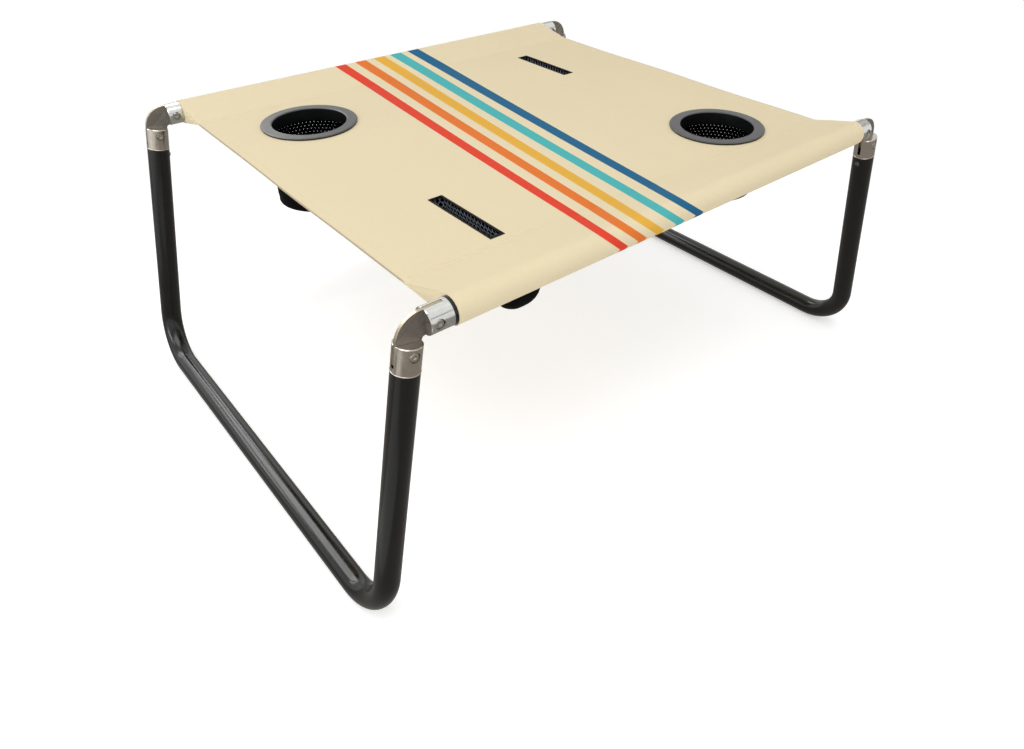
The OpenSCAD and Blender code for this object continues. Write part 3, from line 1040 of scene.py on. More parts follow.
    def soften(
        self,
        node: str,
        width: float,
        material: bpy.types.Material,
        body: str,
        extras: Sequence[Shape] = (),
    ) -> None:
        """Replaces a CAD node by its copy with rounded edges.

        Args:
            node: The CAD node.
            width: Width of the rounding, in millimetres.
            material: Its finish.
            body: The body that it rides on.
            extras: Further shapes of the same piece.
        """
        shape = self.softened_copy(node, width).joined(*extras)
        piece = make_piece(f"{node}_eased", shape, material, body, [node], 60.0)
        even = piece.modifiers.new("even shading", "WEIGHTED_NORMAL")
        even.keep_sharp = True
        even.weight = 80

    def softened_copy(self, node: str, width: float) -> Shape:
        """Copies a CAD node's mesh and rounds its edges over.

        Args:
            node: The CAD node.
            width: Width of the rounding, in millimetres.

        Returns:
            The shape, in metres.
        """
        work = bmesh.new()
        work.from_mesh(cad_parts[node].data)
        bmesh.ops.remove_doubles(work, verts=work.verts, dist=self.weld / 1000)
        bmesh.ops.dissolve_limit(
            work,
            angle_limit=math.radians(self.flat_degrees),
            verts=work.verts,
            edges=work.edges,
            use_dissolve_boundaries=False,
        )
        least = math.radians(self.sharp_degrees)
        sharp = [e for e in work.edges if len(e.link_faces) == 2 and e.calc_face_angle(0) > least]
        bmesh.ops.bevel(
            work,
            geom=sharp,
            offset=width / 1000,
            offset_type="OFFSET",
            segments=2,
            profile=0.6,
            affect="EDGES",
            clamp_overlap=True,
        )
        work.verts.index_update()
        faces = [tuple(v.index for v in face.verts) for face in work.faces]
        shape = Shape(np.array([v.co for v in work.verts]), faces)
        work.free()
        return shape


# Cloth


@dataclass
class Sling:
    """The striped cloth, one strip whose ends go round the rails and are sewn down below.

    Attributes:
        half_width: Half the panel's width along the rails.
        sleeve_half: Half the sleeves' length on the rails.
        sleeve_ends: The same at single corners where the cloth has crept in or out.
        seam_y: Distance of the seams from the middle.
        rail_y: Distance of the rails from the middle.
        rail_z: Height of the rail axes.
        wrap_r: Radius of the cloth's middle round a rail.
        layer: Thickness of the cloth.
        gap: Gap between the panel and the flap sewn under it.
        panel_z: Height of the panel's middle.
        flap: Length of the sewn flap beyond the seam.
        cup: Place of the right cup holder's axis, without the shift.
        cup_hole_r: Radius of the hole for its neck.
        slot: Place of the right slot's middle, without the shift.
        slot_size: Width and length of the hole in the cloth.
        step: Width of one face of the cloth.
        sag: Depth to which the panel sags.
        wave: Height of its tension waves.
        edge_wave: Height of the waves along its side edges.
        calm_cup: Radius about a cup holder that stays level, and the way over which waves come back.
        calm_slot: The same from the edge of a slot.
        slot_half: Half the width and length of a bound slot.
        closure_out: How far the middle of a sleeve's closed end bulges out.
    """

    half_width: float = 262.0
    sleeve_half: float = 257.8
    seam_y: float = 206.4
    rail_y: float = 255.4
    rail_z: float = 292.9
    wrap_r: float = 11.72
    layer: float = 0.85
    gap: float = 0.05
    panel_z: float = 293.0
    flap: float = 8.0
    cup: Flat = (165.0, -143.0)
    cup_hole_r: float = 41.6
    slot: Flat = (162.0, 138.0)
    slot_size: Flat = (13.0, 90.0)
    step: float = 7.0
    sag: float = 0.9
    wave: float = 0.22
    edge_wave: float = 0.5
    calm_cup: Flat = (52.0, 40.0)
    calm_slot: Flat = (2.0, 30.0)
    slot_half: Flat = (8.0, 46.0)
    closure_out: float = 0.6
    sleeve_ends: Dict[Tuple[Side, int], float] = field(
        default_factory=lambda: {(Side.LEFT, 1): 263.5, (Side.RIGHT, -1): 261.0, (Side.LEFT, -1): 256.2}
    )

    def wrap_line(self) -> np.ndarray:
        """Lays out half the strip from the front seam round the front rail to the end of the flap.

        Returns:
            Distance in front of the seam, height, and distance along the cloth from the seam.
        """
        centre = np.array([self.rail_y - self.seam_y, self.rail_z])
        top, low = np.array([0.0, self.panel_z]), np.array([0.0, self.panel_z - self.layer - self.gap])

        def touch(point: np.ndarray, sign: float) -> float:
            """Returns the angle at which the line from a point meets the wrap, above or below."""
            to = point - centre
            return (math.atan2(to[1], to[0]) - sign * math.acos(self.wrap_r / np.hypot(*to))) % math.tau

        angles = np.linspace(touch(top, 1.0), touch(low, -1.0) - math.tau, 34)
        arc = centre + self.wrap_r * np.column_stack([np.cos(angles), np.sin(angles)])
        share = np.linspace(0, 1, 9)[:, None]
        up = top * (1 - share[:-1]) + arc[0] * share[:-1]
        down = arc[-1] * (1 - share[1:]) + low * share[1:]
        end = np.array([[-self.flap / 2, low[1] - self.gap], [-self.flap, low[1]]])
        line = np.concatenate([up, arc, down, end])
        # The crease at the seam is eased, as sewn cloth bends softly there.
        line[1, 1] -= 0.35
        length = np.concatenate([[0], np.cumsum(np.hypot(*np.diff(line, axis=0).T))])
        return np.column_stack([line, length])

    def width_at(self, ahead: np.ndarray, side: Side, end: int) -> np.ndarray:
        """Gives how far the strip reaches from the middle to one side.

        Args:
            ahead: Distances from the seam towards the rail.
            side: The side of the table.
            end: -1 for the front sleeve, 1 for the back one.

        Returns:
            One length for each distance.
        """
        share = np.clip(ahead / (self.rail_y - self.wrap_r - self.seam_y), 0, 1)
        reach = self.sleeve_ends.get((side, end), self.sleeve_half)
        return self.half_width + (reach - self.half_width) * share

    def relief(self, x: np.ndarray, y: np.ndarray) -> np.ndarray:
        """Gives the panel's slight sag and tension waves, none of it at the cup holders and slots.

        Args:
            x: Places along the rails.
            y: Places across the table.

        Returns:
            Heights, in millimetres.
        """
        across = np.clip(1 - (y / self.seam_y) ** 2, 0, 1)
        height = -self.sag * across * (0.45 + 0.55 * np.cos(x / self.half_width * math.pi / 2))
        height += self.wave * np.sin(x / 19.0 + 0.6) * np.sin(x / 47.0) * across**0.5
        at_edge = np.clip(np.abs(x) / self.half_width, 0, 1) ** 4
        height += self.edge_wave * at_edge * np.sin(y / 38.0 + np.sign(x)) * across
        for sign in (-1, 1):
            cup, slot = cutout_place(self.cup, sign), cutout_place(self.slot, sign)
            to_cup = np.hypot(x - cup[0], y - cup[1])
            past = [np.abs(way - middle) - half for way, middle, half in zip((x, y), slot, self.slot_half)]
            to_slot = np.hypot(np.maximum(past[0], 0), np.maximum(past[1], 0))
            for away, (level, back) in ((to_cup, self.calm_cup), (to_slot, self.calm_slot)):
                height *= np.clip((away - level) / back, 0, 1)
        return height

    def in_cutout(self, x: np.ndarray, y: np.ndarray, round_cup: float, round_slot: float) -> np.ndarray:
        """Tells which places lie in one of the four cut-outs, or within a margin round it.

        Args:
            x: Places along the rails.
            y: Places across the table.
            round_cup: Margin round a round cut-out, below 0 for one inside its edge.
            round_slot: Margin round a long cut-out.

        Returns:
            Whether each place does.
        """
        inside = np.zeros(len(x), bool)
        half_w, half_l = (size / 2 + round_slot for size in self.slot_size)
        for sign in (-1, 1):
            cup, slot = cutout_place(self.cup, sign), cutout_place(self.slot, sign)
            inside |= np.hypot(x - cup[0], y - cup[1]) < self.cup_hole_r + round_cup
            inside |= (np.abs(x - slot[0]) < half_w) & (np.abs(y - slot[1]) < half_l)
        return inside

    def cutout_edges(self) -> List[List[Flat]]:
        """Lays out the cut-outs' edges, and a wider circle round each round one for even faces.

        Returns:
            The closed lines.
        """
        w, l = (size / 2 for size in self.slot_size)
        side = np.linspace(-1, 1, 24)[:-1]
        lines = []
        for sign in (-1, 1):
            (cx, cy), (sx, sy) = cutout_place(self.cup, sign), cutout_place(self.slot, sign)
            for radius in (self.cup_hole_r, self.cup_hole_r + 4):
                lines.append([(cx + radius * c, cy + radius * s) for c, s in circle(96)])
            lines.append(
                [(sx - w, sy - t * l) for t in side]
                + [(sx + t * w, sy - l) for t in (-1, 0)]
                + [(sx + w, sy + t * l) for t in side]
                + [(sx - t * w, sy + l) for t in (-1, 0)]
            )
        return lines

    def panel(self, columns: np.ndarray) -> Shape:
        """Meshes the flat panel between the seams, with its two round and two long holes.

        Args:
            columns: Places along the rails, shared with the sleeves.

        Returns:
            The open shape, in millimetres.
        """
        rows = np.linspace(-self.seam_y, self.seam_y, int(2 * self.seam_y / self.step) + 1)
        x, y = (ways.ravel() for ways in np.meshgrid(columns, rows))
        free = ~self.in_cutout(x, y, 6.0, 1.5)
        places = list(zip(x[free], y[free]))
        edges = []
        for line in self.cutout_edges():
            start, count = len(places), len(line)
            places += line
            edges += [(start + i, start + (i + 1) % count) for i in range(count)]
        found = delaunay_2d_cdt([Vector(place) for place in places], edges, [], 0, 1e-5)
        flat = np.array([tuple(v) for v in found[0]])
        middles = np.array([flat[list(face)].mean(0) for face in found[2]])
        cut_away = self.in_cutout(*middles.T, -0.05, 0.0)
        faces = [tuple(face) for face, away in zip(found[2], cut_away) if not away]
        points = np.column_stack([flat, self.panel_z + self.relief(*flat.T)])
        return Shape(points, faces, flat, flat)

    def strip(self) -> Shape:
        """Lays out the whole strip as one open surface, with its pattern coordinates.

        Returns:
            The surface, in metres.
        """
        share = np.linspace(-1, 1, int(2 * self.half_width / self.step) + 1)
        line = self.wrap_line()
        sleeves = []
        for end in (-1, 1):
            left, right = (self.width_at(line[:, 0], side, end)[:, None] for side in Side)
            x = share * np.where(share < 0, left, right)
            ahead, height, length = (np.repeat(line[:, i : i + 1], len(share), 1) for i in range(3))
            places = (x, end * (self.seam_y + ahead), height + self.gathers(x, line[:, 0]))
            woven = (x, end * (self.seam_y + length))
            printed = self.print_place(x, end, line)
            columns = [np.column_stack([way.ravel() for way in ways]) for ways in (places, woven, printed)]
            sleeves.append(Shape(columns[0], grid_faces(len(line), len(share), end < 0), *columns[1:]))
        return welded(self.panel(share * self.half_width).joined(*sleeves).in_metres())

    def print_place(self, x: np.ndarray, end: int, line: np.ndarray) -> Tuple[np.ndarray, np.ndarray]:
        """Finds where each point of a sleeve lies on the print.

        The photograph shows the stripes running straight on over the rise to the rails and down the
        front rail, so the print is drawn as it lies there. Out of its sight it runs on with the cloth.

        Args:
            x: Places along the rails.
            end: -1 for the front sleeve, 1 for the back one.
            line: The half strip's outline.

        Returns:
            The print's two coordinates, in millimetres.
        """
        eye = np.array(Studio.camera_at)
        last_seen = int(np.argmax(line[:, 1]))
        if end < 0:
            last_seen += int(np.argmax(line[last_seen:, 1] < self.rail_z - 4.0))
        seen = np.minimum(np.arange(len(line)), last_seen)
        ahead, height = line[seen, 0], line[seen, 1]
        share = ((height - self.panel_z) / (eye[2] - height))[:, None]
        y = end * (self.seam_y + ahead)[:, None]
        beyond = end * np.maximum(line[:, 2] - line[last_seen, 2], 0)[:, None]
        return x + share * (x - eye[0]), y + share * (y - eye[1]) + beyond + 0 * x

    def gathers(self, x: np.ndarray, ahead: np.ndarray) -> np.ndarray:
        """Gives the small puckers that the stitches pull along the seams, in millimetres."""
        near = np.exp(-(((ahead - 6.0) / 7.0) ** 2)) * (ahead > 0.01)
        return near[:, None] * 0.16 * np.sin(x / 4.1 + 1.7 * np.sin(x / 23.0))

    def build(self, finishes: Finishes) -> None:
        """Builds the cloth, its side hems, the closed ends of its sleeves and its stitches.

        Args:
            finishes: The materials.
        """
        shape = thickened(self.strip(), self.layer)
        nodes = ["sling", "front_sleeve", "back_sleeve"]
        cloth = make_piece("striped_sling", shape, finishes.cloth, "top", nodes, 50.0)
        sewn_on = [self.hem(side, finishes) for side in Side]
        sewn_on += [self.end_closure(side, end, finishes) for side in Side for end in (-1, 1)]
        sewn_on.append(self.stitches(finishes))
        length = 2 * (self.seam_y + self.wrap_line()[-1, 2])

    def hem(self, side: Side, finishes: Finishes) -> bpy.types.Object:
        """Builds the turned-under layer along one side edge.

        Args:
            side: The edge.
            finishes: The materials.

        Returns:
            The hem.
        """
        y = np.linspace(-self.seam_y + 1, self.seam_y - 1, 70)
        x = side.value * (self.half_width - np.array([0.1, 3.0, 7.0, 10.0]))
        grid_x, grid_y = np.meshgrid(x, y)
        z = self.panel_z - self.layer - 0.02 + self.relief(grid_x, grid_y) * 0.98
        flat = np.column_stack([grid_x.ravel(), grid_y.ravel()])
        faces = grid_faces(len(y), len(x), side is Side.LEFT)
        under = Shape(np.column_stack([flat, z.ravel()]), faces, flat, flat).in_metres()
        shape = thickened(under, self.layer - 0.1)
        return make_piece(f"{side.label}_side_hem", shape, finishes.cloth, "top")

    def end_closure(self, side: Side, end: int, finishes: Finishes) -> bpy.types.Object:
        """Builds the cloth that is folded in and sewn across a sleeve's open side, up to the rail.

        Args:
            side: The end of the table.
            end: -1 for the front sleeve, 1 for the back one.
            finishes: The materials.

        Returns:
            The closure.
        """
        line = self.wrap_line()[:, :2]
        centre = np.array([self.rail_y - self.seam_y, self.rail_z])
        touch = np.hypot(*(line - centre).T) < self.wrap_r + 0.02
        first, last = np.argmax(touch), len(touch) - 1 - np.argmax(touch[::-1])
        tip = np.argmax(line[last:, 0] < 0.5) + last
        top, low = line[: first + 1], line[last : tip + 1]
        a, b = (math.atan2(*(corner - centre)[::-1]) % math.tau for corner in (top[-1], low[0]))
        angles = np.linspace(a, b, 12)[1:-1]
        inner_arc = centre + self.wrap_r * np.column_stack([np.cos(angles), np.sin(angles)])
        ring = np.concatenate([top, inner_arc, low])
        ahead = centre[0] - self.wrap_r - 6.0
        x = side.value * (self.width_at(ring[:, 0], side, end) - 0.4)
        bulge = side.value * (self.width_at(np.array([ahead]), side, end)[0] + self.closure_out)
        points = np.column_stack([x, end * (self.seam_y + ring[:, 0]), ring[:, 1]])
        hub = np.array([[bulge, end * (self.seam_y + ahead), self.rail_z]])
        n = len(points)
        faces = ring_faces(n, 0, n) + [(n + i, n + (i + 1) % n, 2 * n) for i in range(n)]
        open_shape = Shape(np.concatenate([points, (points + hub) / 2, hub]), faces)
        shape = thickened(open_shape.in_metres(flipped=side.value * end > 0), 0.7)
        # It lies on the print's plain ground, off the stripes.
        shape.cloth = shape.points[:, 1:3].copy()
        shape.printed = shape.cloth + np.array([[0.5, 0.0]])
        name = f"{'front' if end < 0 else 'back'}_{side.label}_sleeve_closure"
        return make_piece(name, shape, finishes.cloth, "top", (), 60.0)

    def stitches(self, finishes: Finishes) -> bpy.types.Object:
        """Builds two rows of stitches along each seam and one along each side hem.

        The cloth was printed after it was sewn, so the thread has the print's colours.

        Args:
            finishes: The materials.

        Returns:
            All the stitches as one piece.
        """
        pitch, length, radius, sink = 3.4, 2.5, 0.2, 0.08
        along_x = np.arange(-self.half_width + 6, self.half_width - 6, pitch)
        along_y = np.arange(-self.seam_y + 10, self.seam_y - 9, pitch)
        sections = ((-1.0, 0.15), (-0.86, 0.62), (-0.45, 1.0), (0.45, 1.0), (0.86, 0.62), (1.0, 0.15))
        stitch = np.array(
            [
                (share * length / 2, radius * size * c, radius * size * s - sink * abs(share) ** 3)
                for share, size in sections
                for c, s in circle(6)
            ]
        )
        across = stitch[:, [1, 0, 2]] * np.array([-1, 1, 1])
        seams = [(x, end * (self.seam_y - inset)) for end in (-1, 1) for inset in (1.5, 5.0) for x in along_x]
        hems = [(side * (self.half_width - 8), y) for side in (-1, 1) for y in along_y]
        faces: List[Sequence[int]] = []
        for k in range(len(sections) - 1):
            faces += ring_faces(6, k * 6, k * 6 + 6)
        faces += [tuple(reversed(range(6))), tuple(range(30, 36))]
        places = np.array(seams + hems)
        heights = self.panel_z + self.layer / 2 + 0.02 + self.relief(*places.T)
        shapes = [
            Shape((stitch if i < len(seams) else across) + np.array([*place, height]), faces)
            for i, (place, height) in enumerate(zip(places, heights))
        ]
        shape = shapes[0].joined(*shapes[1:]).in_metres()
        shape.cloth = shape.printed = shape.points[:, :2].copy()
        return make_piece("sling_stitches", shape, finishes.cloth, "top", (), 80.0)


# Net


@dataclass(frozen=True)
class KnittedNet:
    """Knitted net: a lattice of six-sided eyes with yarn between them.

    Attributes:
        eye: Width of one eye with its yarn.
        yarn: Thickness of the yarn.
        open_share: Share of an eye's width that is open.
    """

    eye: float
    yarn: float
    open_share: float

    @property
    def row(self) -> float:
        """Distance between two rows of eyes."""
        return self.eye * 0.87

    def round_wall(self, around: int, rows: int, place: Callable[[float, float], Point]) -> Shape:
        """Knits a tube of net.

        Args:
            around: Number of eyes round it.
            rows: Number of rows of eyes, from the top.
            place: Gives the point for a turn from 0 to 1 and a depth from 0 to 1.

        Returns:
            The closed yarn surface, in metres.
        """
        cells = [(i + (j % 2) / 2, j) for j in range(rows) for i in range(around)]
        return self.knit(cells, around, rows, place)

    def flat_round(self, radius: float, place: Callable[[float, float], Point]) -> Shape:
        """Knits a round flat piece of net.

        Args:
            radius: Its radius.
            place: Gives the point for two flat coordinates.

        Returns:
            The closed yarn surface, in metres.
        """
        count = int(2 * radius / self.eye) + 2
        lattice = [(i + (j % 2) / 2, j) for j in range(-count, count) for i in range(-count, count)]
        reach = radius - self.eye * 0.2
        cells = [(u, v) for u, v in lattice if math.hypot(u * self.eye, v * self.row) < reach]

        def flat(u: float, v: float) -> Point:
            """Returns the point of a place in the lattice, drawn in to the round edge."""
            x, y = u * self.eye, v * self.row
            share = min(radius / max(math.hypot(x, y), radius), 1.0)
            return place(x * share, y * share)

        return self.knit(cells, 0, 0, flat)

    def knit(
        self,
        cells: Sequence[Tuple[float, int]],
        around: int,
        rows: int,
        place: Callable[[float, float], Point],
    ) -> Shape:
        """Makes the yarn round each eye of a lattice.

        Args:
            cells: The eyes' places in the lattice.
            around: Number of eyes after which the lattice closes, or 0.
            rows: Number of rows, or 0 where the places aren't shares.
            place: Gives the point for a place.

        Returns:
            The closed yarn surface, in metres.
        """
        corners = [(0.0, -2 / 3), (0.5, -1 / 3), (0.5, 1 / 3), (0.0, 2 / 3), (-0.5, 1 / 3), (-0.5, -1 / 3)]
        numbers: Dict[Tuple[int, int], int] = {}
        points: List[Point] = []
        faces: List[Sequence[int]] = []

        def put(u: float, v: float) -> Point:
            """Returns the point of a lattice place."""
            if around:
                return place(u / around % 1.0, min(max((v + 0.66) / (rows + 0.33), 0.0), 1.0))
            return place(u, v)

        for u, v in cells:
            ring = []
            for du, dv in corners:
                a, b = round((u + du) * 2), round((v + dv) * 3)
                if around:
                    a %= 2 * around
                if (a, b) not in numbers:
                    numbers[(a, b)] = len(points)
                    points.append(put(u + du, v + dv))
                ring.append(numbers[(a, b)])
            hole = list(range(len(points), len(points) + 6))
            points += [put(u + du * self.open_share, v + dv * self.open_share) for du, dv in corners]
            faces += [(ring[k - 1], ring[k], hole[k], hole[k - 1]) for k in (1, 2, 3, 4, 5, 0)]
        return thickened(Shape(np.array(points), faces).in_metres(), self.yarn)


# What hangs in the cloth


@dataclass
class Fitting:
    """Something that is sewn or clamped into a cut-out of the cloth.

    Attributes:
        side: The end of the table that it is at.
        place: Place of the right one's middle, without the shift.
        cloth_top: Height of the cloth's upper face there.
    """

    side: Side
    place: Flat
    cloth_top: float = 293.45

    def add(
        self,
        name: str,
        shape: Shape,
        material: bpy.types.Material,
        slot: str,
        stands_for: str = "",
        sharp_degrees: float = 60.0,
    ) -> None:
        """Makes one of its pieces and puts it in place.

        Args:
            name: The piece's name, without the side.
            shape: Its points and faces about the fitting's middle, in metres.
            material: Its finish.
            slot: A material slot's name, which is not used.
            stands_for: The CAD node that it replaces, without the side, if there is one.
            sharp_degrees: Edges that turn more than this stay sharp.
        """
        label = self.side.label
        middle = Vector((*metres(*cutout_place(self.place, self.side.value)), 0.0))
        moved = shape.moved(Matrix.Translation(middle))
        nodes = [f"{label}_{stands_for}"] if stands_for else ()
        make_piece(f"{label}_{name}", moved, material, "top", nodes, sharp_degrees)


@dataclass
class CupHolder(Fitting):
    """A grey plastic ring through the cloth and the net bag that hangs from it.

    Attributes:
        place: Place of the right one's middle, without the shift.
        opening_r: Radius of the opening.
        flange_r: Radius of the flange.
        flange: Thickness of the flange.
        neck_wall: Wall of the neck.
        neck_depth: Depth of the neck below the flange's top.
        bag_r: Radius of the bag.
        bag_bottoms: Height of each bag's bottom. The right one hangs slack, as in the photograph.
        fold_depth: How far the folds of its wall hang in.
        tape: Thickness of the hem's tape.
        hem_top: Depth of the hem's upper edge below the cloth's upper face.
        hem_low: Depth of its lower edge.
        seam_bead: Radius of the seam round the bottom.
        net: Its net.
    """

    place: Flat = (165.0, -143.0)
    opening_r: float = 39.0
    flange_r: float = 50.5
    flange: float = 2.5
    neck_wall: float = 2.2
    neck_depth: float = 14.0
    bag_r: float = 46.7
    bag_bottoms: Dict[Side, float] = field(default_factory=lambda: {Side.LEFT: 211.2, Side.RIGHT: 228.0})
    fold_depth: float = 2.2
    tape: float = 0.9
    hem_top: float = 1.15
    hem_low: float = 8.95
    seam_bead: float = 1.25
    net: KnittedNet = KnittedNet(eye=4.3, yarn=0.5, open_share=0.15)

    @property
    def bag_bottom(self) -> float:
        """Height of this bag's bottom."""
        return self.bag_bottoms[self.side]

    def build(self, finishes: Finishes) -> None:
        """Builds the ring, the clamp ring and the bag.

        Args:
            finishes: The materials.
        """
        self.ring(finishes)
        dress(f"{self.side.label}_cup_clamp_ring", finishes.plastic)
        self.bag(finishes)
        self.tapes(finishes)

    def ring(self, finishes: Finishes) -> None:
        """Turns the ring: a crowned flange with a rolled inner edge, and a tapered neck.

        Args:
            finishes: The materials.
        """
        seat, top = self.cloth_top, self.cloth_top + self.flange
        low = top - self.neck_depth
        inner, neck = self.opening_r, self.opening_r + self.neck_wall
        profile = rounded(
            [
                (inner, low, 0.5),
                (neck, low, 0.5),
                (neck, seat - 0.05, 0.0),
                (self.flange_r - 0.6, seat - 0.05, 0.3),
                (self.flange_r - 0.5, seat + 0.9, 0.3),
                (self.flange_r, seat + 1.1, 0.3),
                (self.flange_r, top - 0.6, 0.6),
                (self.flange_r - 1.4, top - 0.1, 0.9),
                (inner + 1.9, top - 0.1, 0.5),
                (inner + 1.3, top, 0.4),
                (inner, top - 0.5, 0.7),
                (inner + 0.1, top - 7.0, 0.0),
            ]
        )
        self.add("cup_flanged_ring", turned(profile, 160), finishes.plastic, "grey_plastic", "cup_ring", 40.0)

    def slack(self, turn: float, depth: float) -> float:
        """Finds how far the bag's wall hangs in from its full radius, in soft upright folds.

        Args:
            turn: Way round the bag, from 0 to 1.
            depth: Way down, from 0 at its top to 1 at its bottom.

        Returns:
            A length, in millimetres.
        """
        t = math.tau * turn + self.side.value
        folds = 0.5 + 0.28 * math.cos(7 * t + 0.8) + 0.22 * math.cos(11 * t + 2.1) + 0.18 * math.cos(4 * t)
        swell = math.sin(math.pi * min(depth, 1.0)) ** 0.8
        return max(0.0, self.fold_depth * folds * swell * (0.4 + 0.6 * depth))

    def bag(self, finishes: Finishes) -> None:
        """Knits the bag: a wall with soft folds and a bottom that hangs slightly.

        Args:
            finishes: The materials.
        """
        top = self.cloth_top - 2.1
        floor_r = self.bag_r - 1.4

        def wall(turn: float, depth: float) -> Point:
            """Returns the wall's point."""
            r = self.bag_r - self.slack(turn, depth) - 1.2 * max(0.0, depth - 0.9) / 0.1
            angle = math.tau * turn
            return r * math.cos(angle), r * math.sin(angle), top + (self.bag_bottom + 1.0 - top) * depth

        def floor(x: float, y: float) -> Point:
            """Returns the bottom's point."""
            far = math.hypot(x, y) / floor_r
            wave = 0.5 * math.sin(5 * math.atan2(y, x) + self.side.value) * far**2
            return x, y, self.bag_bottom - 1.6 * (1 - far * far) + wave * (1 - far)

        around = round(math.tau * self.bag_r / self.net.eye)
        rows = round((top - self.bag_bottom) / self.net.row)
        shape = self.net.round_wall(around, rows, wall).joined(self.net.flat_round(floor_r, floor))
        self.add("cup_net_bag", shape, finishes.net, "black_mesh", "cup_bag", 80.0)

    def tapes(self, finishes: Finishes) -> None:
        """Turns the hem at the bag's upper edge and the seam round its bottom.

        Args:
            finishes: The materials.
        """
        inner, outer = self.opening_r + self.neck_wall + 0.3, self.bag_r + 0.3
        inside, high, low = self.bag_r - 1.3, self.cloth_top - self.hem_top, self.cloth_top - self.hem_low
        hem = [
            (inner, high - self.tape, 0.2),
            (inside, high - self.tape, 0.4),
            (inside, low, 0.3),
            (outer, low, 0.4),
            (outer, high, 0.8),
            (inner, high, 0.2),
        ]
        bead, middle = self.seam_bead, (self.bag_r - 1.6, self.bag_bottom + 0.6)
        seam = turned([(middle[0] + bead * c, middle[1] + bead * s) for c, s in circle(10)])
        self.add("cup_bag_tapes", turned(rounded(hem)).joined(seam), finishes.tape, "black_binding")


